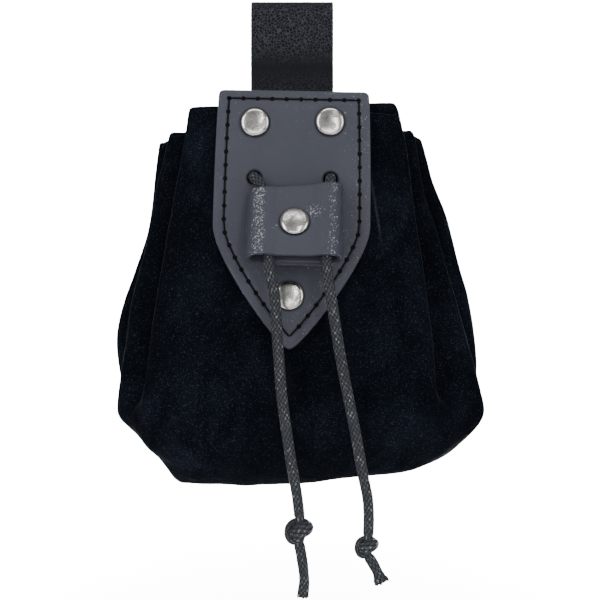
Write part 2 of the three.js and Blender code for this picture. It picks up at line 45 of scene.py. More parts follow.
# The photograph's camera, level and in front
CAMERA_PLACE = (2.8, -700, -104.1)
CAMERA_LENS = 117.94
SENSOR_WIDTH = 36

# The plate and the slider stand in frames of their own: x across, y up, z out of the front
PLATE_FRAME = (
    Matrix.Translation((0.8, -30.6, -33.6))
    @ Matrix.Rotation(math.radians(82), 4, "X")
    @ Matrix.Rotation(math.radians(-1.05), 4, "Z")
)
SLIDER_FRAME = (
    PLATE_FRAME
    @ Matrix.Translation((1.05, -36.8, 3.3))
    @ Matrix.Rotation(math.radians(-19), 4, "X")
)

# The cord: from the slider up, round the mouth through the pleats and back, and two free ends
CORD_RADIUS = 1.8
HELD_LEFT = [
    (-7.3, -55.9, -90.7), (-8.0, -49.7, -78.7), (-8.7, -44.6, -68.6), (-11.0, -42.4, -64.5),
    (-12.6, -40.4, -62.9), (-12.6, -36.2, -63.0), (-12.6, -32.6, -63.5),
]
HELD_RIGHT = [
    (13.1, -32.6, -63.9), (13.1, -36.3, -63.4), (13.1, -40.4, -63.4), (12.9, -42.5, -65.0),
    (12.7, -44.6, -69.0), (12.1, -49.8, -79.0), (11.5, -55.9, -91.0),
]
HELD_DROP = -63.6
HELD_SIDE = [
    (13.6, -31.3), (16, -30.7), (20, -30.8), (27, -30.9), (31, -31), (33.4, -30.6), (34.5, -29.2),
    (34.6, -26.5), (34.6, -20), (34.6, -14.5), (33.7, -11.6), (31, -10.2), (26, -9.95), (14, -9.95),
]
LEFT_FALL = [
    (-7.3, -56.0, -91.0), (-7.3, -57.4, -93.6), (-5.5, -57.5, -102.5), (-4.9, -56.5, -113.1),
    (-4.1, -54.8, -123.8), (-3.3, -53.2, -134.6), (-1.2, -52.0, -150.3), (0.4, -51.8, -160.8),
    (1.7, -51.6, -167.8), (2.6, -51.5, -175.2),
]
RIGHT_FALL = [
    (11.5, -56.0, -91.3), (11.5, -57.4, -94.0), (12.9, -57.5, -102.5), (14.5, -56.5, -113.1),
    (16.3, -54.8, -123.8), (18.4, -53.2, -134.6), (20.9, -52.0, -147.0), (22.1, -51.8, -153.6),
    (23.7, -51.6, -162.5), (25.1, -51.5, -169.4), (25.5, -51.5, -176.7), (25.3, -51.5, -181.3),
]
LEFT_TAIL = [(2.6, -51.5, -184.8), (3.5, -51.4, -190), (4.2, -51.3, -196.5), (3.7, -51.2, -202.0)]
RIGHT_TAIL = [(25.6, -51.5, -189.0), (27.2, -51.4, -191.6), (28.5, -51.3, -194.2), (29.7, -51.2, -197.2)]
LEFT_KNOT = (2.3, -51.5, -180.3)
RIGHT_KNOT = (24.7, -51.5, -185.5)
ROUTE_POINTS = 36

BRAID_CELLS = 8
BRAID_CELL_LENGTH = 2.0
BRAID_RELIEF = 0.13
BRAID_STEP = 0.45
BRAID_SIDES = 32


# Places along a line

def curve_through(points, steps=16):
    """A smooth curve through the points, closely divided."""
    ends = [points[0] * 2 - points[1], *points, points[-1] * 2 - points[-2]]
    places = [points[0].copy()]
    for before, start, end, after in zip(ends, ends[1:], ends[2:], ends[3:]):
        first = math.sqrt((start - before).length)
        second = math.sqrt((end - start).length)
        third = math.sqrt((after - end).length)
        leave = (start - before) / first - (end - before) / (first + second) + (end - start) / second
        enter = (end - start) / second - (after - start) / (second + third) + (after - end) / third
        leave *= second
        enter *= second
        for step in range(1, steps + 1):
            t = step / steps
            square = (end - start) * 3 - leave * 2 - enter
            cube = leave + enter - (end - start) * 2
            places.append(start + leave * t + square * t * t + cube * t ** 3)
    return places


def evenly(places, count):
    """The same line as a number of evenly spaced points."""
    reached = [0.0]
    for before, after in zip(places, places[1:]):
        reached.append(reached[-1] + (after - before).length)
    line = []
    segment = 0
    for i in range(count):
        target = reached[-1] * i / (count - 1)
        while segment < len(places) - 2 and reached[segment + 1] < target:
            segment += 1
        share = (target - reached[segment]) / max(reached[segment + 1] - reached[segment], 1e-9)
        line.append(places[segment].lerp(places[segment + 1], min(max(share, 0), 1)))
    return line


def line_length(line):
    return sum((after - before).length for before, after in zip(line, line[1:]))


def frames_along(line):
    """A frame at each place of the line, its z along the line and turned no more than the line turns."""
    frames = []
    across = None
    last = None
    for i, place in enumerate(line):
        along = (line[min(i + 1, len(line) - 1)] - line[max(i - 1, 0)]).normalized()
        if across is None:
            across = along.orthogonal().normalized()
        else:
            across = last.rotation_difference(along) @ across
        last = along
        turned = Matrix((across, along.cross(across), along)).transposed().to_4x4()
        frames.append(Matrix.Translation(place) @ turned)
    return frames


# Making and setting down a piece

def extruded(bm, edges):
    """The new points, edges and faces of one extrusion of the edges."""
    made = bmesh.ops.extrude_edge_only(bm, edges=edges)["geom"]
    points = [item for item in made if isinstance(item, bmesh.types.BMVert)]
    faces = [item for item in made if isinstance(item, bmesh.types.BMFace)]
    fresh = set(points)
    rim = [
        item for item in made
        if isinstance(item, bmesh.types.BMEdge) and fresh.issuperset(item.verts)
    ]
    return points, rim, faces


def set_down(name, bm, surface, stands_for, place=None, sharp=None):
    """Turns the millimetre mesh into a finished object in metres that rides with the pouch."""
    matrix = Matrix.Scale(MM, 4) @ (place or Matrix.Identity(4))
    bmesh.ops.transform(bm, matrix=matrix, verts=bm.verts)
    mesh = bpy.data.meshes.new(name)
    bm.to_mesh(mesh)
    bm.free()
    for face in mesh.polygons:
        face.use_smooth = True
    if sharp:
        mesh.set_sharp_from_angle(angle=math.radians(sharp))
    mesh.materials.append(surface)
    piece = bpy.data.objects.new(name, mesh)
    bpy.context.scene.collection.objects.link(piece)
    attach(piece, "root")
    if stands_for:
        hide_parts(*stands_for)
    return piece


def smoothstep(value, low, high):
    share = min(max((value - low) / (high - low), 0), 1)
    return share * share * (3 - 2 * share)


def mix(low, high, share):
    return low + (high - low) * share


# Materials

CREASE_TOP = (0.0268, -0.0624)
CREASE_LEAN = 0.153


def nodes_of(material):
    material.use_nodes = True
    tree = material.node_tree
    tree.nodes.clear()
    output = tree.nodes.new("ShaderNodeOutputMaterial")
    shader = tree.nodes.new("ShaderNodeBsdfPrincipled")
    tree.links.new(shader.outputs["BSDF"], output.inputs["Surface"])
    return tree, shader


def wire(tree, target, value):
    """A socket takes either a link or a value of its own."""
    if isinstance(value, bpy.types.NodeSocket):
        tree.links.new(value, target)
    else:
        target.default_value = value


def arithmetic(tree, operation, first, second=0.0, third=0.0, clamp=False):
    node = tree.nodes.new("ShaderNodeMath")
    node.operation = operation
    node.use_clamp = clamp
    for socket, value in zip(node.inputs, (first, second, third)):
        wire(tree, socket, value)
    return node.outputs[0]


def blend_colours(tree, share, first, second):
    node = tree.nodes.new("ShaderNodeMix")
    node.data_type = "RGBA"
    wire(tree, node.inputs[0], share)
    wire(tree, node.inputs[6], first)
    wire(tree, node.inputs[7], second)
    return node.outputs[2]


def ranged(tree, value, low, high, to_low=0.0, to_high=1.0):
    node = tree.nodes.new("ShaderNodeMapRange")
    node.clamp = True
    for socket, each in zip(node.inputs, (value, low, high, to_low, to_high)):
        wire(tree, socket, each)
    return node.outputs[0]


def cloud(tree, place, scale, detail=2.0, roughness=0.5, distortion=0.0):
    node = tree.nodes.new("ShaderNodeTexNoise")
    wire(tree, node.inputs["Vector"], place)
    wire(tree, node.inputs["Scale"], scale)
    node.inputs["Detail"].default_value = detail
    node.inputs["Roughness"].default_value = roughness
    node.inputs["Distortion"].default_value = distortion
    return node.outputs["Fac"]


def cells(tree, place, scale, feature="F1"):
    node = tree.nodes.new("ShaderNodeTexVoronoi")
    node.feature = feature
    wire(tree, node.inputs["Vector"], place)
    wire(tree, node.inputs["Scale"], scale)
    return node.outputs["Distance"]


def object_place(tree):
    return tree.nodes.new("ShaderNodeTexCoord").outputs["Object"]


def stretched(tree, place, scale):
    node = tree.nodes.new("ShaderNodeMapping")
    wire(tree, node.inputs["Vector"], place)
    node.inputs["Scale"].default_value = scale
    return node.outputs["Vector"]


def raised(tree, shader, height, distance, strength=1.0, under=None):
    node = tree.nodes.new("ShaderNodeBump")
    node.inputs["Distance"].default_value = distance
    node.inputs["Strength"].default_value = strength
    wire(tree, node.inputs["Height"], height)
    if under is not None:
        tree.links.new(under, node.inputs["Normal"])
    tree.links.new(node.outputs["Normal"], shader.inputs["Normal"])
    return node.outputs["Normal"]


def attribute_value(tree, name):
    node = tree.nodes.new("ShaderNodeAttribute")
    node.attribute_name = name
    return node.outputs["Fac"]


def new_group(name, inputs, outputs):
    group = bpy.data.node_groups.new(name, "ShaderNodeTree")
    for label, kind, value in inputs:
        socket = group.interface.new_socket(name=label, in_out="INPUT", socket_type=kind)
        if value is not None:
            socket.default_value = value
    for label, kind in outputs:
        group.interface.new_socket(name=label, in_out="OUTPUT", socket_type=kind)
    entry = group.nodes.new("NodeGroupInput")
    leave = group.nodes.new("NodeGroupOutput")
    return group, entry.outputs, leave.inputs


def placed_group(tree, group, **values):
    node = tree.nodes.new("ShaderNodeGroup")
    node.node_tree = group
    for label, value in values.items():
        wire(tree, node.inputs[label], value)
    return node.outputs


def leather_grain():
    """Fine pores and creases, as a height, with a mask of the raised grain and a slow mottling."""
    group, entry, leave = new_group(
        "leather_grain",
        [("Pore", "NodeSocketFloat", 1400.0), ("Mottle", "NodeSocketFloat", 60.0)],
        [("Height", "NodeSocketFloat"), ("Ridges", "NodeSocketFloat"), ("Mottling", "NodeSocketFloat")],
    )
    place = object_place(group)
    pores = cells(group, place, entry["Pore"], "DISTANCE_TO_EDGE")
    pebble = ranged(group, pores, 0.0, 0.35)
    fine = cloud(group, place, arithmetic(group, "MULTIPLY", entry["Pore"], 2.2), 2)
    height = arithmetic(group, "MULTIPLY_ADD", fine, 0.35, pebble)
    wire(group, leave["Height"], height)
    wire(group, leave["Ridges"], ranged(group, pores, 0.03, 0.16, 1.0, 0.0))
    wire(group, leave["Mottling"], cloud(group, place, entry["Mottle"], 4, 0.6))
    return group


def crease_highlight_line(tree, place):
    """The thin line of painted highlight along the short fold that leaves the plate's right edge."""
    split = tree.nodes.new("ShaderNodeSeparateXYZ")
    wire(tree, split.inputs[0], place)
    down = arithmetic(tree, "SUBTRACT", CREASE_TOP[1], split.outputs["Z"])
    line = arithmetic(tree, "MULTIPLY_ADD", down, CREASE_LEAN, CREASE_TOP[0])
    apart = arithmetic(tree, "ABSOLUTE", arithmetic(tree, "SUBTRACT", split.outputs["X"], line))
    thin = ranged(tree, apart, 0.0002, 0.0006, 1.0, 0.0)
    ends = arithmetic(
        tree, "MULTIPLY", ranged(tree, down, 0.0, 0.004), ranged(tree, down, 0.016, 0.024, 1.0, 0.0)
    )
    front = ranged(tree, split.outputs["Y"], -0.022, -0.026)
    return arithmetic(tree, "MULTIPLY", thin, arithmetic(tree, "MULTIPLY", ends, front))


def velvet_material():
    material = bpy.data.materials.new("crushed_velvet")
    tree, shader = nodes_of(material)
    place = object_place(tree)
    crush = cloud(tree, stretched(tree, place, (1, 1, 0.7)), 70, 4, 0.6, 0.6)
    patches = ranged(tree, crush, 0.4, 0.7)
    drift = ranged(tree, cloud(tree, place, 22, 3, 0.5), 0.35, 0.7)
    lit = arithmetic(tree, "MULTIPLY", patches, arithmetic(tree, "MULTIPLY_ADD", drift, 0.8, 0.2))
    pile = blend_colours(tree, lit, (0.0019, 0.0031, 0.0052, 1), (0.0066, 0.0092, 0.0155, 1))
    fine = cloud(tree, place, 2100, 2, 0.7)
    lint_and_crease_highlight = ranged(tree, arithmetic(tree, "MULTIPLY_ADD", lit, 0.07, fine), 0.58, 0.74)
    lint_and_crease_highlight = arithmetic(tree, "MULTIPLY", lint_and_crease_highlight, 0.65)
    # The short fold's line is a painted highlight, added to the fluff specks.
    lint_and_crease_highlight = arithmetic(tree, "MULTIPLY_ADD", crease_highlight_line(tree, place), 0.45, lint_and_crease_highlight, clamp=True)
    tree.links.new(blend_colours(tree, lint_and_crease_highlight, pile, (0.034, 0.038, 0.05, 1)), shader.inputs["Base Color"])
    shader.inputs["Roughness"].default_value = 0.95
    shader.inputs["Specular IOR Level"].default_value = 0.03
    shader.inputs["Sheen Weight"].default_value = 0.07
    shader.inputs["Sheen Roughness"].default_value = 0.25
    shader.inputs["Sheen Tint"].default_value = (0.6, 0.68, 0.85, 1)
    nap = cloud(tree, place, 2600, 2, 0.6)
    lay = raised(tree, shader, crush, 0.0012, 0.6)
    raised(tree, shader, nap, 0.00012, 0.5, lay)
    return material


def plate_leather_material(grain):
    material = bpy.data.materials.new("plate_leather")
    tree, shader = nodes_of(material)
    made = placed_group(tree, grain, Pore=1500.0, Mottle=45.0)
    wear_and_glint = attribute_value(tree, "wear_and_glint")
    shade = blend_colours(tree, made["Mottling"], (0.039, 0.042, 0.057, 1), (0.058, 0.062, 0.082, 1))
    # Painted shade: darker in the stitch groove, down the cord holes and round the rivet caps.
    dark = attribute_value(tree, "recess_shade")
    shade = blend_colours(tree, arithmetic(tree, "MULTIPLY", dark, 0.72), shade, (0.012, 0.013, 0.018, 1))
    # Painted highlights: pale glint specks on the grain, denser on the plate's margin, along the slider's folds and
    # round its rivet.
    specks = cloud(tree, object_place(tree), 1700, 2, 0.65)
    glint = ranged(tree, arithmetic(tree, "MULTIPLY_ADD", wear_and_glint, 0.28, specks), 0.77, 0.83)
    tree.links.new(
        blend_colours(tree, arithmetic(tree, "MULTIPLY", glint, 0.7), shade, (0.42, 0.43, 0.46, 1)),
        shader.inputs["Base Color"],
    )
    tree.links.new(ranged(tree, made["Mottling"], 0.3, 0.7, 0.5, 0.6), shader.inputs["Roughness"])
    shader.inputs["Specular IOR Level"].default_value = 0.28
    waves = cloud(tree, object_place(tree), 110, 3, 0.5)
    lay = raised(tree, shader, waves, 0.0005, 0.35)
    depth = arithmetic(tree, "MULTIPLY", made["Height"], arithmetic(tree, "MULTIPLY_ADD", wear_and_glint, 0.8, 0.2))
    raised(tree, shader, depth, 0.00012, 0.6, lay)
    return material


def strap_leather_material(grain):
    material = bpy.data.materials.new("strap_leather")
    tree, shader = nodes_of(material)
    made = placed_group(tree, grain, Pore=950.0, Mottle=80.0)
    rub_and_glint = attribute_value(tree, "wear_and_glint")
    shade = blend_colours(tree, made["Mottling"], (0.0018, 0.0026, 0.0044, 1), (0.0042, 0.0056, 0.009, 1))
    # Painted highlight: the grain's ridges lighter at the loop's top bend and, less, lower down.
    glint = arithmetic(tree, "MULTIPLY", made["Ridges"], rub_and_glint)
    tree.links.new(
        blend_colours(tree, arithmetic(tree, "MULTIPLY", glint, 0.5), shade, (0.075, 0.08, 0.1, 1)),
        shader.inputs["Base Color"],
    )
    tree.links.new(ranged(tree, made["Mottling"], 0.3, 0.7, 0.5, 0.62), shader.inputs["Roughness"])
    shader.inputs["Specular IOR Level"].default_value = 0.15
    depth = arithmetic(tree, "MULTIPLY", made["Height"], arithmetic(tree, "MULTIPLY_ADD", rub_and_glint, 0.8, 0.2))
    raised(tree, shader, depth, 0.00025, 0.8)
    return material


def nickel_material():
    material = bpy.data.materials.new("nickel")
    tree, shader = nodes_of(material)
    place = object_place(tree)
    stain = ranged(tree, cloud(tree, place, 420, 5, 0.7, 0.6), 0.38, 0.6)
    centre = attribute_value(tree, "centre")
    tarnish = arithmetic(tree, "MULTIPLY", stain, arithmetic(tree, "MULTIPLY_ADD", centre, 0.85, 0.05))
    tree.links.new(
        blend_colours(tree, tarnish, (0.68, 0.665, 0.63, 1), (0.16, 0.16, 0.15, 1)),
        shader.inputs["Base Color"],
    )
    shader.inputs["Metallic"].default_value = 1.0
    tree.links.new(ranged(tree, tarnish, 0.0, 1.0, 0.18, 0.34), shader.inputs["Roughness"])
    raised(tree, shader, cloud(tree, place, 900, 3, 0.6), 0.00005, 0.3)
    return material


def cord_material():
    """The braid's two families of strands cross over and under in turn; pale streaks painted on the strands' crowns
    stand for the waxed cord's glints.
    """
    material = bpy.data.materials.new("waxed_cord")
    tree, shader = nodes_of(material)
    split = tree.nodes.new("ShaderNodeSeparateXYZ")
    wire(tree, split.inputs[0], tree.nodes.new("ShaderNodeUVMap").outputs["UV"])
    first = arithmetic(tree, "ADD", split.outputs["X"], split.outputs["Y"])
    second = arithmetic(tree, "SUBTRACT", split.outputs["X"], split.outputs["Y"])
    parts = []
    for place in (first, second):
        parts.append(arithmetic(tree, "FRACT", place))
    turn = arithmetic(tree, "ADD", arithmetic(tree, "FLOOR", first), arithmetic(tree, "FLOOR", second))
    other = arithmetic(tree, "FLOORED_MODULO", turn, 2.0)
    domes = []
    for part in parts:
        centred = arithmetic(tree, "ABSOLUTE", arithmetic(tree, "MULTIPLY_ADD", part, 2.0, -1.0))
        domes.append(arithmetic(tree, "SUBTRACT", 1.0, arithmetic(tree, "POWER", centred, 2.5)))
    swap = tree.nodes.new("ShaderNodeMix")
    swap.data_type = "FLOAT"
    wire(tree, swap.inputs[0], other)
    wire(tree, swap.inputs[2], domes[0])
    wire(tree, swap.inputs[3], domes[1])
    crown = arithmetic(tree, "MULTIPLY", arithmetic(tree, "POWER", domes[0], 0.5), domes[1])
    height = arithmetic(tree, "MULTIPLY_ADD", crown, 0.6, swap.outputs[0])
    place = object_place(tree)
    wax_and_glint = ranged(tree, cloud(tree, place, 750, 3, 0.6), 0.54, 0.64)
    # Painted highlight: pale glints on the highest crowns of the strands.
    glint = arithmetic(tree, "MULTIPLY", ranged(tree, height, 1.15, 1.6), wax_and_glint, clamp=True)
    # Painted shade: the braid darker down between its strands and lighter on their crowns.
    shade = blend_colours(tree, ranged(tree, height, 0.2, 1.4), (0.01, 0.011, 0.013, 1), (0.05, 0.055, 0.063, 1))
    tree.links.new(
        blend_colours(tree, arithmetic(tree, "MULTIPLY", glint, 0.75), shade, (0.3, 0.31, 0.33, 1)),
        shader.inputs["Base Color"],
    )
    tree.links.new(ranged(tree, wax_and_glint, 0.0, 1.0, 0.62, 0.4), shader.inputs["Roughness"])
    shader.inputs["Specular IOR Level"].default_value = 0.15
    fibres = cloud(tree, place, 3200, 2, 0.6)
    lay = raised(tree, shader, height, 0.0003, 0.8)
    raised(tree, shader, fibres, 0.00008, 0.6, lay)
    return material


def thread_material():
    material = bpy.data.materials.new("black_thread")
    tree, shader = nodes_of(material)
    place = object_place(tree)
    twist = cloud(tree, place, 2400, 2, 0.6)
    tree.links.new(
        blend_colours(tree, twist, (0.001, 0.001, 0.0013, 1), (0.004, 0.004, 0.005, 1)),
        shader.inputs["Base Color"],
    )
    tree.links.new(ranged(tree, twist, 0.3, 0.7, 0.6, 0.8), shader.inputs["Roughness"])
    shader.inputs["Specular IOR Level"].default_value = 0.1
    raised(tree, shader, twist, 0.00008, 0.6)
    return material


GRAIN = leather_grain()
VELVET = velvet_material()
PLATE_LEATHER = plate_leather_material(GRAIN)
STRAP_LEATHER = strap_leather_material(GRAIN)
NICKEL = nickel_material()
WAXED_CORD = cord_material()
THREAD = thread_material()


# The camera and the cords

def place_camera():
    data = bpy.data.cameras.new("photo_camera")
    data.sensor_width = SENSOR_WIDTH
    data.lens = CAMERA_LENS
    data.clip_start = 0.01
    data.clip_end = 20
    camera = bpy.data.objects.new("photo_camera", data)
    camera.location = Vector(CAMERA_PLACE) * MM
    camera.rotation_euler = (math.pi / 2, 0, 0)
    bpy.context.scene.collection.objects.link(camera)
    bpy.context.scene.camera = camera


def braid_height(turns, rows):
    """How far the braid stands up, from 0 to 1, at a place given in cells round and cells along."""
    first = turns + rows
    second = turns - rows
    domes = [1 - abs(2 * (place % 1) - 1) ** 2.5 for place in (first, second)]
    over = (math.floor(first) + math.floor(second)) % 2
    return (domes[over] + 0.6 * math.sqrt(domes[0]) * domes[1]) / 1.6


def braided(bm, line, radius_at, sides=BRAID_SIDES, relief=BRAID_RELIEF, start_row=0.0):
    """A closed braided tube along the line. radius_at gives the radius at a share of its length."""
    uv = bm.loops.layers.uv.verify()
    turn_layer = bm.verts.layers.float.get("turn") or bm.verts.layers.float.new("turn")
    length = line_length(line)
    count = max(int(length / BRAID_STEP), 6)
    frames = frames_along(evenly(line, count + 1))
    ring = bmesh.ops.create_circle(bm, segments=sides, radius=1.0)["verts"]
    edges = list({edge for vert in ring for edge in vert.link_edges})
    for vert in ring:
        vert[turn_layer] = (math.atan2(vert.co.y, vert.co.x) / (2 * math.pi)) % 1
    first_edges = edges

    def lay_ring(verts, i):
        rows = start_row + length * i / count / BRAID_CELL_LENGTH
        for vert in verts:
            share = vert[turn_layer]
            angle = share * 2 * math.pi
            rise = relief * (braid_height(share * BRAID_CELLS, rows) - 0.6)
            reach = radius_at(i / count) + rise
            vert.co = frames[i] @ Vector((reach * math.cos(angle), reach * math.sin(angle), 0))
        return rows

    last_rows = lay_ring(ring, 0)
    for i in range(1, count + 1):
        verts, edges, faces = extruded(bm, edges)
        fresh = set(verts)
        rows = lay_ring(verts, i)
        for face in faces:
            shares = [loop.vert[turn_layer] for loop in face.loops]
            split = max(shares) - min(shares) > 0.5
            for loop, share in zip(face.loops, shares):
                around = share + 1 if split and share < 0.5 else share
                loop[uv].uv = (around * BRAID_CELLS, rows if loop.vert in fresh else last_rows)
        last_rows = rows
    for rim, at, out in ((first_edges, frames[0], -1), (edges, frames[-1], 1)):
        tip = rim
        for shrink, step in ((0.72, 0.22), (0.3, 0.12)):
            verts, tip, _ = extruded(bm, tip)
            centre = sum((vert.co for vert in verts), Vector()) / len(verts)
            for vert in verts:
                vert.co = centre + (vert.co - centre) * shrink + at.to_3x3() @ Vector((0, 0, out * step))
        bmesh.ops.contextual_create(bm, geom=tip)


def finished_tube(name, bm, stands_for):
    bmesh.ops.recalc_face_normals(bm, faces=bm.faces)
    return set_down(name, bm, WAXED_CORD, stands_for)


def vectors(points):
    return [Vector(point) for point in points]


def free_cord(name, fall):
    bm = bmesh.new()
    line = evenly(curve_through(vectors(fall)), ROUTE_POINTS)
    braided(bm, line, lambda share: CORD_RADIUS)
    return finished_tube(name, bm, [name[: name.rindex("_")]]), line


KNOT_COLUMNS = ("x", "out", "z", "radius")
KNOT_PATH = [
    (0.6, 0.3, 3.4, 1.65), (0.3, -1.0, 2.0, 1.6), (0.4, -1.4, 0.2, 1.5), (0.7, -0.9, -1.4, 1.5),
    (0.4, 0.3, -2.8, 1.5), (-1.0, 0.8, -3.2, 1.45), (-2.5, 0.7, -2.8, 1.3), (-3.45, 0.5, -1.5, 1.15),
    (-3.6, 0.3, 0.1, 1.1), (-3.0, 0.0, 1.7, 1.2), (-1.6, -1.0, 2.6, 1.4), (0.4, -2.0, 2.7, 1.5),
    (2.1, -1.6, 2.1, 1.8), (3.0, -0.1, 1.2, 2.0), (2.3, 1.3, 0.9, 2.4), (0.9, 1.8, 0.3, 2.6),
    (-0.6, 1.5, -0.5, 2.35), (-1.5, 0.4, -1.2, 1.7), (-1.4, -1.0, -1.9, 1.45), (-0.5, -1.2, -2.9, 1.5),
]


def overhand_knot(name, centre, spread, entry, leave):
    """An overhand knot: down behind, up round the left, over the right and down across the front."""
    above = Vector(entry) - Vector(centre)
    below = Vector(leave) - Vector(centre)
    middle = [Vector((x, -out, z)) * spread for x, out, z, _ in KNOT_PATH]
    points = [above + Vector((0, 0, 0.8)), above, *middle, below, below - Vector((0.1, 0, 0.8))]
    end_radius = CORD_RADIUS - 0.12
    radii = [end_radius, end_radius, *(row[-1] * spread for row in KNOT_PATH), end_radius, end_radius]
    line = [Vector(centre) + place for place in curve_through(points)]
    steps = (len(line) - 1) // (len(points) - 1)
    reached = [line_length(line[: i * steps + 1]) / line_length(line) for i in range(len(points))]

    def thickness(share):
        k = next((k for k in range(1, len(reached)) if reached[k] >= share), len(reached) - 1)
        return mix(radii[k - 1], radii[k], smoothstep(share, reached[k - 1], reached[k]))

    bm = bmesh.new()
    braided(bm, line, thickness, sides=20, relief=0.15)
    return finished_tube(name, bm, [name[: name.rindex("_")]])


def cord_tail(name, points, flare):
    bm = bmesh.new()
    line = curve_through(vectors(points))

    def thickness(share):
        return CORD_RADIUS + flare * smoothstep(share, 0.55, 1.0) - 0.12 * smoothstep(share, 0.3, 0.55)

    braided(bm, line, thickness)
    ends = frames_along(line)
    strands = 11 if flare > 0.3 else 6
    for i in range(strands):
        angle = 2 * math.pi * i / strands + 0.4 * math.sin(5.0 * i)
        reach = (CORD_RADIUS + flare) * (0.5 + 0.35 * ((i * 7) % 5) / 4)
        start = Vector((reach * math.cos(angle), reach * math.sin(angle), -1.4))
        spread = reach * 1.12
        tip = Vector((spread * math.cos(angle + 0.15), spread * math.sin(angle + 0.15), 0.1 + 0.3 * ((i * 3) % 4) / 3))
        fibre = [ends[-1] @ start.lerp(tip, step / 4) for step in range(5)]
        strand(bm, fibre, 0.42 if flare > 0.3 else 0.34)
    return finished_tube(name, bm, [name[: name.rindex("_")]])


def strand(bm, line, radius, sides=6):
    """A small closed tube with rounded ends along a line of a few points."""
    frames = frames_along(line)
    ring = bmesh.ops.create_circle(bm, segments=sides, radius=radius)["verts"]
    edges = list({edge for vert in ring for edge in vert.link_edges})
    bmesh.ops.transform(bm, matrix=frames[0], verts=ring)
    bmesh.ops.contextual_create(bm, geom=edges)
    for before, after in zip(frames, frames[1:]):
        verts, edges, _ = extruded(bm, edges)
        bmesh.ops.transform(bm, matrix=after @ before.inverted(), verts=verts)
    verts, edges, _ = extruded(bm, edges)
    centre = sum((vert.co for vert in verts), Vector()) / len(verts)
    along = frames[-1].to_3x3() @ Vector((0, 0, radius * 0.5))
    for vert in verts:
        vert.co = centre + (vert.co - centre) * 0.55 + along
    bmesh.ops.contextual_create(bm, geom=edges)


place_camera()
left_cord, left_line = free_cord("left_cord_braid", LEFT_FALL)
right_cord, right_line = free_cord("right_cord_braid", RIGHT_FALL)
left_knot = overhand_knot("left_knot_braid", LEFT_KNOT, 1.0, LEFT_FALL[-1], LEFT_TAIL[0])
right_knot = overhand_knot("right_knot_braid", RIGHT_KNOT, 0.84, RIGHT_FALL[-1], RIGHT_TAIL[0])
left_tail = cord_tail("left_tail_braid", LEFT_TAIL, 0.25)
right_tail = cord_tail("right_tail_braid", RIGHT_TAIL, 0.6)


def held_drawstring():
    inside_left = [(-x, y, HELD_DROP) for x, y in HELD_SIDE]
    inside_right = [(x, y, HELD_DROP) for x, y in reversed(HELD_SIDE)]
    line = curve_through(vectors([*HELD_LEFT, *inside_left, *inside_right, *HELD_RIGHT]))
    bm = bmesh.new()
    braided(bm, line, lambda share: CORD_RADIUS)
    return finished_tube("drawstring_braid", bm, ["drawstring"])


held_drawstring()


# The velvet bag

BAG_WIDTH = 128
BAG_HEIGHT = 129.1
BAG_DEPTH = 48
MOUTH_DROP = 37.7
MOUTH_FRONT = -30.3
BAG_BACK = -6.3
PLEAT_TUCK = 14
PLEAT_CREASE = 1.9
PLATE_TOP = -33.6
PLATE_TIP = -121.7
PLATE_HALF = 26.45
VELVET_WALL = 1.5

SECTION_COLUMNS = (
    "down", "frontLeft", "middleLeft", "backLeft", "frontRight", "middleRight", "backRight",
    "tuck", "bulge", "back", "pleated", "crease",
)
SECTIONS = [
    dict(zip(SECTION_COLUMNS, row))
    for row in (
        (0.0, 0.55, 0.661, 0.725, 0.567, 0.664, 0.702, 0.95, 0, 0, 1, 1),
        (0.1, 0.575, 0.69, 0.739, 0.608, 0.68, 0.737, 1, 0, 0, 1, 1),
        (0.2, 0.607, 0.726, 0.752, 0.631, 0.705, 0.781, 1, 0, 0, 1, 1.1),
        (0.34, 0.663, 0.771, 0.795, 0.677, 0.777, 0.877, 0.9, 0, 0.005, 1, 1.2),
        (0.48, 0.708, 0.841, 0.891, 0.713, 0.862, 0.951, 0.75, 0, 0.06, 1, 1.5),
        (0.6, 0.741, 0.888, 0.964, 0.74, 0.935, 1.01, 0.58, 0.02, 0.125, 0.97, 2),
        (0.7, 0.759, 0.919, 0.966, 0.747, 0.987, 1.037, 0.42, 0.05, 0.16, 0.88, 2.6),
        (0.77, 0.775, 0.92, 0.964, 0.735, 1.005, 1.045, 0.28, 0.065, 0.165, 0.62, 3.4),
        (0.82, 0.775, 0.905, 0.948, 0.72, 1.01, 1.04, 0.13, 0.06, 0.15, 0.3, 4.6),
        (0.86, 0.74, 0.86, 0.865, 0.72, 0.97, 0.985, 0.04, 0.04, 0.115, 0.08, 6.5),
        (0.9, 0.7, 0.8, 0.793, 0.7, 0.9, 0.897, 0, 0, 0.05, 0, 9),
        (0.935, 0.65, 0.73, 0.725, 0.65, 0.81, 0.805, 0, -0.065, -0.025, 0, 9),
        (0.965, 0.6, 0.67, 0.668, 0.5, 0.63, 0.63, 0, -0.15, -0.115, 0, 9),
        (0.985, 0.56, 0.63, 0.632, 0.25, 0.32, 0.32, 0, -0.235, -0.2, 0, 9),
        (1.0, 0.52, 0.59, 0.59, 0.03, 0.04, 0.04, 0, -0.335, -0.3, 0, 9),
    )
]
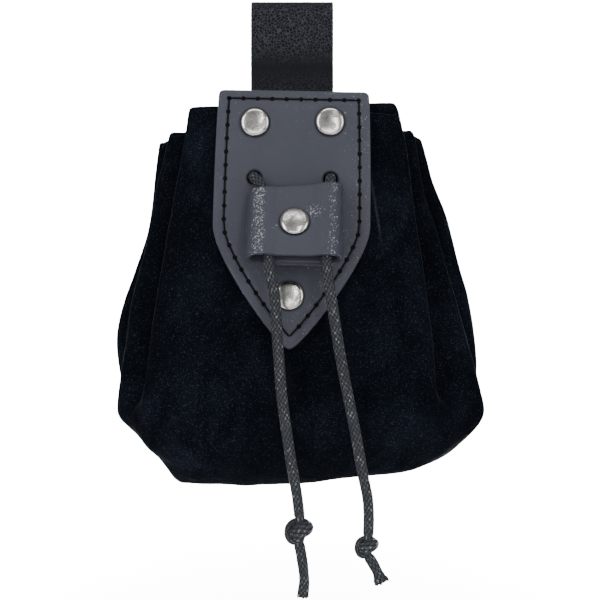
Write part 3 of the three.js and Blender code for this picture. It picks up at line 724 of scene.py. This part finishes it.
# Each corner of one side, from the front to the back, and how many points lie on the way to the next
CORNER_COLUMNS = (
    "reach", "inward", "depth", "angleLeft", "angleRight", "dropLeft", "dropRight", "between",
)
CORNERS = [
    dict(zip(CORNER_COLUMNS, row))
    for row in (
        ("shoulder", 0, 0.0, 27, 25, 0.0, 0.018, 2),
        ("front", 0, 0.03, 50, 43, 0.002, 0.024, 1),
        ("front", 0, 0.24, 60, 53, 0.004, -0.012, 3),
        ("front", 1, 0.26, 68, 62, 0.03, -0.01, 0),
        ("front", 1, 0.33, 76, 72, 0.074, 0.05, 3),
        ("middle", 0, 0.35, 84, 82, 0.062, 0.09, 1),
        ("middle", 0, 0.53, 92, 91, 0.068, 0.056, 3),
        ("middle", 1.25, 0.55, 100, 100, 0.08, 0.07, 0),
        ("middle", 1.25, 0.62, 108, 108, 0.1, 0.075, 3),
        ("back", 0, 0.64, 117, 117, 0.086, 0.075, 2),
        ("back", 0, 0.95, 133, 133, 0.088, 0.07, 3),
        ("backPanel", 0, 1.0, 155, 155, 0.02, 0.02, 5),
    )
]
CENTRE_BETWEEN = 5
BAG_LEVELS = 46
CORNER_STEPS = 2


def section_value(name, down):
    last = len(SECTIONS) - 1
    row = 0
    while row < last - 1 and SECTIONS[row + 1]["down"] <= down:
        row += 1

    def slope(i):
        before = SECTIONS[max(i - 1, 0)]
        after = SECTIONS[min(i + 1, last)]
        return (after[name] - before[name]) / (after["down"] - before["down"])

    low, high = SECTIONS[row], SECTIONS[row + 1]
    span = high["down"] - low["down"]
    t = min((down - low["down"]) / span, 1)
    rise = high[name] - low[name]
    enter, leave = slope(row) * span, slope(row + 1) * span
    square = 3 * rise - 2 * enter - leave
    cube = enter + leave - 2 * rise
    return low[name] + enter * t + square * t * t + cube * t ** 3


def bag_level(down):
    """The corner points of one level, from the front centre round by the left, and the roundness of its folds."""
    z = -MOUTH_DROP - BAG_HEIGHT * down
    half = BAG_WIDTH / 2
    below = smoothstep(PLATE_TIP - z, 0, 22)
    bulge = section_value("bulge", down)
    front = MOUTH_FRONT + (z - PLATE_TOP) * math.tan(math.radians(8))
    front -= BAG_DEPTH * (bulge * below if bulge > 0 else bulge)
    back = BAG_BACK + BAG_DEPTH * section_value("back", down)
    pleated = section_value("pleated", down)
    fade = max(1 - down / 0.35, 0) ** 2

    def side_points(side, sign):
        at_front = section_value("front" + side, down)
        at_back = section_value("back" + side, down)
        reaches = {
            "shoulder": min(PLATE_HALF + 1.5, 0.9 * half * at_front),
            "front": half * at_front,
            "middle": half * section_value("middle" + side, down),
            "back": half * at_back,
            "backPanel": 0.62 * half * at_back,
        }
        points = []
        for corner in CORNERS:
            tucked = corner["inward"] * PLEAT_TUCK * section_value("tuck", down)
            folded = Vector((reaches[corner["reach"]] - tucked, mix(front, back, corner["depth"])))
            turn = math.radians(corner["angle" + side])
            across = abs(math.sin(turn)) ** (2 / 2.3)
            deep = math.copysign(abs(math.cos(turn)) ** (2 / 2.3), math.cos(turn))
            oval = Vector((reaches["back"] * across, (front + back) / 2 - (back - front) / 2 * deep))
            x, y = oval.lerp(folded, pleated)
            points.append(Vector((sign * x, y, z - corner["drop" + side] * BAG_HEIGHT * fade)))
        return points

    left = side_points("Left", -1)
    right = side_points("Right", 1)[::-1]
    uneven = section_value("backRight", down) - section_value("backLeft", down)
    middle = half * uneven * (1 - pleated) / 2
    ring = [Vector((middle, front, z)), *left, Vector((middle, back, z)), *right]
    return ring, PLEAT_CREASE * section_value("crease", down)


LEFT_BETWEEN = [CENTRE_BETWEEN] + [corner["between"] for corner in CORNERS]
RING_BETWEEN = LEFT_BETWEEN + [LEFT_BETWEEN[i] for i in range(len(CORNERS), -1, -1)]
RING_COUNT = sum(RING_BETWEEN) + len(RING_BETWEEN) * (CORNER_STEPS + 1)


def bag_outline(down):
    ring, crease = bag_level(down)
    entries, exits = [], []
    for i, corner in enumerate(ring):
        before, after = ring[i - 1], ring[(i + 1) % len(ring)]
        entries.append(corner.lerp(before, min(crease / (corner - before).length, 0.46)))
        exits.append(corner.lerp(after, min(crease / (corner - after).length, 0.46)))
    outline = []
    for i, corner in enumerate(ring):
        for step in range(CORNER_STEPS + 1):
            t = step / CORNER_STEPS
            outline.append(entries[i].lerp(corner, t).lerp(corner.lerp(exits[i], t), t))
        following = entries[(i + 1) % len(ring)]
        for step in range(RING_BETWEEN[i]):
            outline.append(exits[i].lerp(following, (step + 1) / (RING_BETWEEN[i] + 1)))
    return outline


def velvet_bag():
    bm = bmesh.new()
    number = bm.verts.layers.int.new("number")
    ring = bmesh.ops.create_circle(bm, segments=RING_COUNT, radius=1.0)["verts"]
    for vert in ring:
        turn = math.atan2(vert.co.y, vert.co.x) / (2 * math.pi)
        vert[number] = round(turn * RING_COUNT) % RING_COUNT
    edges = list({edge for vert in ring for edge in vert.link_edges})
    verts = ring
    for level in range(BAG_LEVELS):
        if level:
            verts, edges, _ = extruded(bm, edges)
        outline = bag_outline(math.sin(math.pi / 2 * level / BAG_LEVELS))
        for vert in verts:
            vert.co = outline[vert[number]]
    lowest, _ = bag_level(1.0)
    deep = (lowest[0].y + lowest[len(CORNERS) + 1].y) / 2
    bottom = Vector((-0.28 * BAG_WIDTH / 2, deep, lowest[0].z))
    for inward in (0.35, 0.55):
        verts, edges, _ = extruded(bm, edges)
        for vert in verts:
            vert.co = vert.co.lerp(bottom, inward)
    bmesh.ops.contextual_create(bm, geom=edges)
    bmesh.ops.recalc_face_normals(bm, faces=bm.faces)
    bm.normal_update()
    if bm.faces[0].normal.dot(bm.faces[0].calc_center_median() - Vector((0, -20, -100))) < 0:
        bmesh.ops.reverse_faces(bm, faces=bm.faces)
        bm.normal_update()
    moves = {}
    for vert in bm.verts:
        place = vert.co
        free = smoothstep(-place.z, 42, 75)
        slow = noise.noise(Vector((place.x / 17, place.y / 17, place.z / 26)))
        quick = noise.noise(Vector((place.x / 7, place.y / 7, place.z / 13 + 5)))
        fine = noise.noise(Vector((place.x / 3.2, place.y / 3.2, place.z / 6 + 9)))
        against = smoothstep(abs(place.x - 0.8), PLATE_HALF - 6, PLATE_HALF + 4)
        lower = smoothstep(PLATE_TIP - place.z, -6, 14)
        loose = max(against, lower) if place.y < -25 else 1
        moves[vert] = vert.normal * free * loose * (0.9 * slow + 0.55 * quick + 0.25 * fine)
    for vert, move in moves.items():
        vert.co += move
    piece = set_down("velvet_bag", bm, VELVET, ["bag_body"])
    wall = piece.modifiers.new("wall", "SOLIDIFY")
    wall.thickness = VELVET_WALL * MM
    wall.offset = -1
    soft = piece.modifiers.new("soft", "SUBSURF")
    soft.levels = 1
    soft.render_levels = 1
    return piece


velvet_bag()


# The stitched plate

PLATE_THICKNESS = 3
PLATE_HEIGHT = 88.1
SHOULDER_DROP = 46.5
STITCH_INSET = 3.65
TOP_SHARE = 0.8
STITCH_PITCH = 4.75
HOLE_RADIUS = 0.84


def between(first, second, third, fourth, steps):
    """Points of a curve that leaves the first point towards the second and reaches the fourth from the third."""
    points = []
    for step in range(1, steps + 1):
        t = step / steps
        s = 1 - t
        points.append(
            first * s ** 3 + second * 3 * s * s * t + third * 3 * s * t * t + fourth * t ** 3
        )
    return points


def bowed(first, handle, last, steps):
    return between(first, first.lerp(handle, 2 / 3), last.lerp(handle, 2 / 3), last, steps)


def plate_outline():
    half = PLATE_HALF
    top = half - 0.85
    start = Vector((0, 0, 0))
    corner = Vector((top - 2.2, 0, 0))
    down = Vector((top, -2.2, 0))
    shoulder = Vector((half, -SHOULDER_DROP, 0))
    tip = Vector((2.4, 1.4 - PLATE_HEIGHT, 0))
    right = [start]
    right += [start.lerp(corner, step / 8) for step in range(1, 9)]
    right += bowed(corner, Vector((top, 0, 0)), down, 5)
    right += bowed(down, Vector((half, -SHOULDER_DROP / 2, 0)), shoulder, 14)
    right += between(
        shoulder, Vector((half, -SHOULDER_DROP - 9.5, 0)), Vector((10, 9 - PLATE_HEIGHT, 0)), tip, 18
    )
    right += bowed(tip, Vector((0.9, -PLATE_HEIGHT + 0.15, 0)), Vector((0, -PLATE_HEIGHT + 0.1, 0)), 3)
    left = [Vector((-point.x, point.y, 0)) for point in right[-2:0:-1]]
    return right + left


RIVET_PLACES = {
    "plate_rivet_left": (-13.05, -11.2),
    "plate_rivet_right": (12.35, -10.5),
    "plate_rivet_tip": (-0.3, -70.2),
}
CORD_HOLES = ((-12.85, -30.1), (12.85, -30.1))
CORD_HOLE_RADIUS = 2.6


def inset_outline(outline, inset):
    """The plate's outline moved inwards by one width, with a square corner or a point where it runs out of room."""
    moved = []
    for i, point in enumerate(outline):
        along = (outline[(i + 1) % len(outline)] - outline[i - 1]).normalized()
        inward = Vector((along.y, -along.x, 0))
        moved.append(point + inward * inset)
    right = len(outline) // 2
    crossing = next(i for i in range(1, right + 1) if moved[i].x <= 0)
    above, below = moved[crossing - 1], moved[crossing]
    point_y = mix(above.y, below.y, above.x / (above.x - below.x))
    corner = PLATE_HALF - 0.85 - inset
    for i, place in enumerate(moved):
        past_middle = place.x * outline[i].x <= 0 and outline[i].y < -SHOULDER_DROP
        if past_middle or (i == right):
            moved[i] = Vector((0, point_y, 0))
        elif outline[i].y > -2.3 and inset > 2.2 and abs(outline[i].x) > corner:
            moved[i] = Vector((math.copysign(corner, outline[i].x), -inset * TOP_SHARE, 0))
        elif place.y > -inset * TOP_SHARE or outline[i].y > -0.01:
            moved[i].y = -inset * TOP_SHARE
    return moved


def front_plate():
    """The plate's front with its raised margin and recessed stitch line, as one skin that then gets its thickness. The
    groove and the cord holes carry painted shade, and the margin painted glints.
    """
    bm = bmesh.new()
    number = bm.verts.layers.int.new("number")
    loop = bm.verts.layers.int.new("loop")
    recess_shade = bm.verts.layers.float.new("recess_shade")
    wear_and_glint = bm.verts.layers.float.new("wear_and_glint")
    outline = plate_outline()
    verts = bmesh.ops.create_circle(bm, segments=len(outline), radius=1.0)["verts"]
    edges = list({edge for vert in verts for edge in vert.link_edges})
    for vert in verts:
        turn = math.atan2(vert.co.y, vert.co.x) / (2 * math.pi)
        vert[number] = round(turn * len(outline)) % len(outline)
        vert.co = outline[vert[number]]
    # Each step inwards: inset, lift and how much painted shade
    steps = (
        (0.7, 0.0, 0.0), (1.5, 0.1, 0.0), (2.7, 0.08, 0.0), (3.3, -0.1, 0.05), (STITCH_INSET, -0.34, 0.35),
        (4.0, -0.14, 0.05), (4.4, -0.02, 0.0), (5.8, -0.08, 0.0),
    )
    stitch_line = inset_outline(outline, STITCH_INSET)
    for i, (inset, lift, shade) in enumerate(steps, 1):
        verts, edges, _ = extruded(bm, edges)
        inner_line = inset_outline(outline, inset)
        for vert in verts:
            vert.co = inner_line[vert[number]] + Vector((0, 0, lift))
            vert[recess_shade] = shade
            # The margin gets painted glint specks, more on the right.
            if inset < STITCH_INSET - 0.7:
                vert[wear_and_glint] = 0.38 if outline[vert[number]].x > 0 else 0.22
            vert[loop] = i
    bmesh.ops.remove_doubles(bm, verts=bm.verts, dist=0.02)
    inner = [edge for edge in bm.edges if edge.is_boundary and all(vert[loop] == len(steps) for vert in edge.verts)]
    holes = []
    for x, y in CORD_HOLES:
        ring = bmesh.ops.create_circle(
            bm, segments=24, radius=CORD_HOLE_RADIUS + 1.6, matrix=Matrix.Translation((x, y, -0.08))
        )["verts"]
        holes.append((ring, x, y))
    hole_edges = [edge for ring, _, _ in holes for edge in {edge for vert in ring for edge in vert.link_edges}]
    filled = bmesh.ops.triangle_fill(bm, use_beauty=True, edges=[*inner, *hole_edges])["geom"]
    flat = [item for item in filled if isinstance(item, bmesh.types.BMFace)]
    for face in flat:
        if face.normal.z < 0:
            face.normal_flip()
    for ring, x, y in holes:
        edges = [edge for edge in {edge for vert in ring for edge in vert.link_edges} if edge.is_boundary]
        # Each step down into the cord hole: reach, lift and how much painted shade
        for reach, lift, shade in ((1.0, 0.05, 0.0), (0.5, 0.16, 0.0), (0.1, 0.02, 0.1), (-0.3, -0.55, 0.6)):
            verts, edges, _ = extruded(bm, edges)
            for vert in verts:
                out = Vector((vert.co.x - x, vert.co.y - y, 0)).normalized() * (CORD_HOLE_RADIUS + reach)
                vert.co = Vector((x, y, lift)) + out
                vert[recess_shade] = shade
    bmesh.ops.recalc_face_normals(bm, faces=bm.faces)
    top = max(bm.faces, key=lambda each: each.calc_area())
    if top.normal.z < 0:
        bmesh.ops.reverse_faces(bm, faces=bm.faces)
    place = PLATE_FRAME @ Matrix.Translation((0, 0, PLATE_THICKNESS))
    piece = set_down("stitched_plate", bm, PLATE_LEATHER, ["front_plate"], place)
    wall = piece.modifiers.new("thickness", "SOLIDIFY")
    wall.thickness = PLATE_THICKNESS * MM
    wall.offset = -1
    wall.use_even_offset = True
    edge = piece.modifiers.new("rounded_edge", "BEVEL")
    edge.width = 0.7 * MM
    edge.segments = 3
    edge.limit_method = "ANGLE"
    edge.angle_limit = math.radians(55)
    return stitch_line, place


def stitch_runs(stitch_line):
    """The stitch line as its top, its right side and its left side, from corner to corner."""
    half = len(stitch_line) // 2
    right = stitch_line[: half + 1]
    corner = max(range(half), key=lambda i: right[i].x - right[i].y * -1)
    top_right = [point for point in right[: corner + 1]]
    side = [top_right[-1]]
    for point in right[corner + 1:]:
        if (point - side[-1]).length > 0.02:
            side.append(point)
    mirrored = [Vector((-point.x, point.y, 0)) for point in side]
    top = [Vector((-top_right[-1].x, top_right[-1].y, 0)), top_right[-1]]
    return top, side, mirrored


def stitches(stitch_line, place):
    """A black thread that dips into a hole at each stitch."""
    bm = bmesh.new()
    for run in stitch_runs(stitch_line):
        count = round(line_length(run) / STITCH_PITCH)
        holes = evenly(run, count + 1)
        for start, end in zip(holes, holes[1:]):
            inside = start.lerp(end, 0.06)
            outside = start.lerp(end, 0.94)
            line = []
            for step in range(7):
                share = step / 6
                lift = 0.3 * math.sin(math.pi * share) ** 0.6 - 0.2
                line.append(inside.lerp(outside, share) + Vector((0, 0, lift + 0.05)))
            strand(bm, line, 0.23)
        for hole in holes[:-1]:
            ring = bmesh.ops.create_circle(
                bm, segments=10, radius=HOLE_RADIUS, matrix=Matrix.Translation(hole + Vector((0, 0, -0.1)))
            )["verts"]
            edges = list({edge for vert in ring for edge in vert.link_edges})
            for shrink, drop in ((0.85, 0.2), (0.55, 0.28), (0.3, 0.1)):
                verts, edges, _ = extruded(bm, edges)
                for vert in verts:
                    flat = Vector((vert.co.x - hole.x, vert.co.y - hole.y, 0)).normalized()
                    vert.co = hole + flat * HOLE_RADIUS * shrink + Vector((0, 0, drop - 0.1))
            bmesh.ops.contextual_create(bm, geom=edges)
    bmesh.ops.recalc_face_normals(bm, faces=bm.faces)
    set_down("plate_stitches", bm, THREAD, None, place)


stitch_line, plate_place = front_plate()
stitches(stitch_line, plate_place)


# Rivets

def rivet(name, place, stack):
    """A pressed cap with a rolled shoulder on a shank, and a flat foot inside. The foot's top is at 0."""
    profile = [
        (0, -0.9), (2.9, -0.9), (3.45, -0.75), (3.6, -0.4), (3.45, -0.05), (3.0, 0), (1.6, 0), (1.6, stack),
        (4.5, stack), (4.8, stack + 0.1), (4.92, stack + 0.36), (4.8, stack + 0.7), (4.55, stack + 0.95),
        (4.2, stack + 1.14), (3.8, stack + 1.25), (3.0, stack + 1.42), (2.0, stack + 1.57), (1.0, stack + 1.67),
        (0, stack + 1.7),
    ]
    bm = bmesh.new()
    centre = bm.verts.layers.float.new("centre")
    verts = [bm.verts.new((radius, 0, height)) for radius, height in profile]
    for vert in verts:
        vert[centre] = 1 - smoothstep(vert.co.x, 3.0, 4.3)
    edges = [bm.edges.new(pair) for pair in zip(verts, verts[1:])]
    bmesh.ops.spin(
        bm, geom=[*verts, *edges], cent=(0, 0, 0), axis=(0, 0, 1), angle=2 * math.pi, steps=44, use_merge=True
    )
    bmesh.ops.remove_doubles(bm, verts=bm.verts, dist=0.001)
    bmesh.ops.recalc_face_normals(bm, faces=bm.faces)
    return set_down(name + "_cap", bm, NICKEL, [name], place, sharp=60)


def dimple(name, place):
    """The slight crease that a rivet's cap presses into the leather, darkened with painted shade."""
    bm = bmesh.new()
    recess_shade = bm.verts.layers.float.new("recess_shade")
    bm.verts.layers.float.new("wear_and_glint")
    verts = bmesh.ops.create_circle(bm, segments=44, radius=4.4)["verts"]
    edges = list({edge for vert in verts for edge in vert.link_edges})
    for vert in verts:
        vert[recess_shade] = 1.3
    for radius, height, shade in DIMPLE_PROFILE:
        verts, edges, _ = extruded(bm, edges)
        for vert in verts:
            out = Vector((vert.co.x, vert.co.y, 0)).normalized() * radius
            vert.co = out + Vector((0, 0, height))
            vert[recess_shade] = shade
    bmesh.ops.recalc_face_normals(bm, faces=bm.faces)
    bm.normal_update()
    if sum(face.normal.z for face in bm.faces) < 0:
        bmesh.ops.reverse_faces(bm, faces=bm.faces)
    set_down(name + "_dimple", bm, PLATE_LEATHER, None, place)


# Each ring out from the cap: radius, height and how much painted shade
DIMPLE_PROFILE = ((4.8, 0.02, 1.3), (5.1, 0.05, 1.1), (5.3, 0.08, 0.5), (5.7, 0.07, 0.0), (6.1, -0.1, 0.0))
PLATE_FOOT = -2.1
SLIDER_DISH = 0.85
SLIDER_RIVET_DROP = 14
SLIDER_THICKNESS = 9.0
for name, (x, y) in RIVET_PLACES.items():
    rivet(name, PLATE_FRAME @ Matrix.Translation((x, y, PLATE_FOOT)), PLATE_THICKNESS + 0.2 - PLATE_FOOT)
    dimple(name, PLATE_FRAME @ Matrix.Translation((x, y, PLATE_THICKNESS - 0.08)))
slider_top = SLIDER_THICKNESS - SLIDER_DISH
rivet("slider_rivet", SLIDER_FRAME @ Matrix.Translation((0, -SLIDER_RIVET_DROP, -0.3)), slider_top + 0.5)
dimple("slider_rivet", SLIDER_FRAME @ Matrix.Translation((0, -SLIDER_RIVET_DROP, slider_top)))


# The cord slider

SLIDER_WIDTH = 31.8
SLIDER_LENGTH = 26.2
SLIDER_LEATHER = 1.5
SLIDER_SKEW = 0.1
SLIDER_ROWS = 14


def turned_arc(centre_x, centre_y, radius, low, high, steps):
    points = []
    for step in range(steps + 1):
        turn = math.radians(mix(low, high, step / steps))
        points.append((centre_x + radius * math.cos(turn), centre_y + radius * math.sin(turn)))
    return points


def cord_slider():
    half = SLIDER_WIDTH / 2 - SLIDER_LEATHER / 2
    rear = SLIDER_LEATHER / 2
    inner = rear + SLIDER_LEATHER + 0.3
    front = SLIDER_THICKNESS - SLIDER_LEATHER / 2
    left_radius = (front - rear) / 2
    right_radius = (front - inner) / 2
    line = [(9, rear), (4, rear), (0, rear), (-5, rear)]
    line += turned_arc(-half + left_radius, rear + left_radius, left_radius, 270, 90, 12)
    for x in (-10.6, -9.5, -8.4, -7, -5.5, -2.8, 0, 2.8, 5.5, 7, 8.4, 9.5, 10.6):
        line.append((x, front - SLIDER_DISH * (1 - smoothstep(abs(x), 5.5, 8.6))))
    line += turned_arc(half - right_radius, inner + right_radius, right_radius, 90, -90, 12)
    line += [(6, inner), (0, inner), (-4.5, inner), (-9, inner)]
    bm = bmesh.new()
    wear_and_glint = bm.verts.layers.float.new("wear_and_glint")
    bm.verts.layers.float.new("recess_shade")
    verts = [bm.verts.new((x, 0, z)) for x, z in line]
    edges = [bm.edges.new(pair) for pair in zip(verts, verts[1:])]
    for row in range(1, SLIDER_ROWS + 1):
        verts, edges, _ = extruded(bm, edges)
        bmesh.ops.translate(bm, verts=verts, vec=(0, -SLIDER_LENGTH / SLIDER_ROWS, 0))
    # Painted glint specks and deeper grain along both folds and in two patches by the rivet.
    for vert in bm.verts:
        x, y, z = vert.co
        vert.co.y = y + SLIDER_SKEW * x * (1 + y / SLIDER_LENGTH)
        if z > front - 2.2:
            left_fold = 1 - smoothstep(abs(x + 11.6), 1.0, 3.4)
            right_fold = 1 - smoothstep(abs(x - 12.4), 0.6, 2.8)
            right_patch = 1 - smoothstep(math.hypot(x - 6.4, y + SLIDER_RIVET_DROP - 3.2), 1.5, 5.0)
            left_patch = 0.8 - smoothstep(math.hypot(x + 5.8, y + SLIDER_RIVET_DROP + 2), 0.6, 3.2)
            vert[wear_and_glint] = max(left_fold * 0.84, right_fold * 0.7, right_patch * 0.85, left_patch, 0)
    bmesh.ops.recalc_face_normals(bm, faces=bm.faces)
    piece = set_down("folded_slider", bm, PLATE_LEATHER, ["cord_slider"], SLIDER_FRAME)
    wall = piece.modifiers.new("leather", "SOLIDIFY")
    wall.thickness = SLIDER_LEATHER * MM
    wall.offset = 0
    wall.use_even_offset = True
    edge = piece.modifiers.new("rounded_edge", "BEVEL")
    edge.width = 0.45 * MM
    edge.segments = 3
    edge.limit_method = "ANGLE"
    edge.angle_limit = math.radians(55)
    return piece


cord_slider()


# The belt loop

STRAP_WIDTH = 29.2
STRAP_THICKNESS = 2
BELT_GAP = 8
LOOP_LENGTH = 68
SEAM_DROP = 53
BEND_DROP = 39
STRAP_COLUMNS = 12


def belt_loop():
    run = (BELT_GAP + STRAP_THICKNESS) / 2
    lapped = -run + STRAP_THICKNESS + 0.3
    line = [(lapped, -LOOP_LENGTH), (lapped, -60.0), (lapped, -SEAM_DROP)]
    for step in range(1, 9):
        t = step / 8
        line.append((mix(lapped, run, smoothstep(t, 0, 1)), mix(-SEAM_DROP, -BEND_DROP, t)))
    line += [(run, -32.0), (run, -22.0), (run, -13.0)]
    line += turned_arc(0, -BELT_GAP / 2, run, 0, 180, 16)
    line += [(-run, -13.0), (-run, -22.0), (-run, -34.0), (-run, -46.0), (-run, -57.0), (-run, -LOOP_LENGTH)]
    bm = bmesh.new()
    wear_and_glint = bm.verts.layers.float.new("wear_and_glint")
    verts = [bm.verts.new((-STRAP_WIDTH / 2, y, z)) for y, z in line]
    edges = [bm.edges.new(pair) for pair in zip(verts, verts[1:])]
    for column in range(STRAP_COLUMNS):
        verts, edges, _ = extruded(bm, edges)
        bmesh.ops.translate(bm, verts=verts, vec=(STRAP_WIDTH / STRAP_COLUMNS, 0, 0))
    # Painted highlights and deeper grain: strong at the top bend, weaker lower down the runs.
    for vert in bm.verts:
        upper = smoothstep(vert.co.z, -16, -13)
        lower = smoothstep(-vert.co.z, 23, 26)
        vert[wear_and_glint] = max(upper, lower * 0.7)
    bmesh.ops.recalc_face_normals(bm, faces=bm.faces)
    piece = set_down("folded_strap", bm, STRAP_LEATHER, ["belt_loop"])
    wall = piece.modifiers.new("leather", "SOLIDIFY")
    wall.thickness = STRAP_THICKNESS * MM
    wall.offset = 0
    wall.use_even_offset = True
    edge = piece.modifiers.new("rounded_edge", "BEVEL")
    edge.width = 0.5 * MM
    edge.segments = 3
    edge.limit_method = "ANGLE"
    edge.angle_limit = math.radians(55)
    return piece


belt_loop()
LOOP_STACK = VELVET_WALL + 2 * STRAP_THICKNESS + 1.2
for name, x in (("loop_rivet_left", -7.5), ("loop_rivet_right", 7.5)):
    turned = Matrix.Translation((x, BAG_BACK, -57.5)) @ Matrix.Rotation(math.radians(-90), 4, "X")
    rivet(name, turned @ Matrix.Translation((0, 0, -VELVET_WALL - 0.3)), LOOP_STACK)


# The floor, the backdrop and the lights

def plain_surface(name, colour):
    material = bpy.data.materials.new(name)
    _, shader = nodes_of(material)
    shader.inputs["Base Color"].default_value = colour
    shader.inputs["Roughness"].default_value = 0.9
    shader.inputs["Specular IOR Level"].default_value = 0.1
    return material


def floor_and_backdrop():
    """A pale sweep: a floor well below the pouch that turns up into a wall behind it."""
    bm = bmesh.new()
    line = [(-6.0, -0.55), (0.9, -0.55)]
    line += [(0.9 + 0.6 * math.sin(math.radians(a)), 0.05 - 0.6 * math.cos(math.radians(a))) for a in range(10, 91, 10)]
    line.append((1.5, 5.0))
    verts = [bm.verts.new((-6, y, z)) for y, z in line]
    edges = [bm.edges.new(pair) for pair in zip(verts, verts[1:])]
    verts, edges, _ = extruded(bm, edges)
    bmesh.ops.translate(bm, verts=verts, vec=(12, 0, 0))
    mesh = bpy.data.meshes.new("pale_sweep")
    bm.to_mesh(mesh)
    bm.free()
    for face in mesh.polygons:
        face.use_smooth = True
    mesh.materials.append(plain_surface("pale_paper", (0.94, 0.94, 0.94, 1)))
    sweep = bpy.data.objects.new("pale_sweep", mesh)
    bpy.context.scene.collection.objects.link(sweep)


def soft_light(name, place, aim, size, power, spread=180):
    data = bpy.data.lights.new(name, "AREA")
    data.shape = "RECTANGLE"
    data.size, data.size_y = size
    data.energy = power
    data.spread = math.radians(spread)
    light = bpy.data.objects.new(name, data)
    light.location = place
    light.rotation_euler = (Vector(aim) - Vector(place)).to_track_quat("-Z", "Y").to_euler()
    bpy.context.scene.collection.objects.link(light)


def studio():
    floor_and_backdrop()
    world = bpy.data.worlds.new("studio")
    bpy.context.scene.world = world
    world.use_nodes = True
    world.node_tree.nodes["Background"].inputs["Color"].default_value = (1, 1, 1, 1)
    world.node_tree.nodes["Background"].inputs["Strength"].default_value = 0.2
    middle = (0, -0.03, -0.1)
    soft_light("left_softbox", (-0.9, -0.9, 0.3), middle, (0.4, 0.9), 4.2)
    soft_light("right_softbox", (0.95, -0.8, 0.25), middle, (0.4, 0.9), 4.6)
    soft_light("front_panel", (0.1, -1.5, 0.5), middle, (1.3, 0.9), 0.9)
    soft_light("low_panel", (0, -1.5, -0.2), middle, (1.2, 0.4), 4.2)
    soft_light("left_strip", (-0.72, -1.0, 0.42), middle, (0.07, 0.9), 2.8)
    soft_light("right_strip", (0.33, -1.2, 0.42), middle, (0.06, 0.9), 2.8)
    soft_light("top_softbox", (0, -0.5, 0.95), middle, (0.9, 0.4), 3)
    soft_light("wall_wash_left", (-0.75, 0.85, -0.05), (-0.12, 1.5, -0.1), (0.3, 0.9), 46, 75)
    soft_light("wall_wash_right", (0.75, 0.85, -0.05), (0.12, 1.5, -0.1), (0.3, 0.9), 46, 75)


studio()
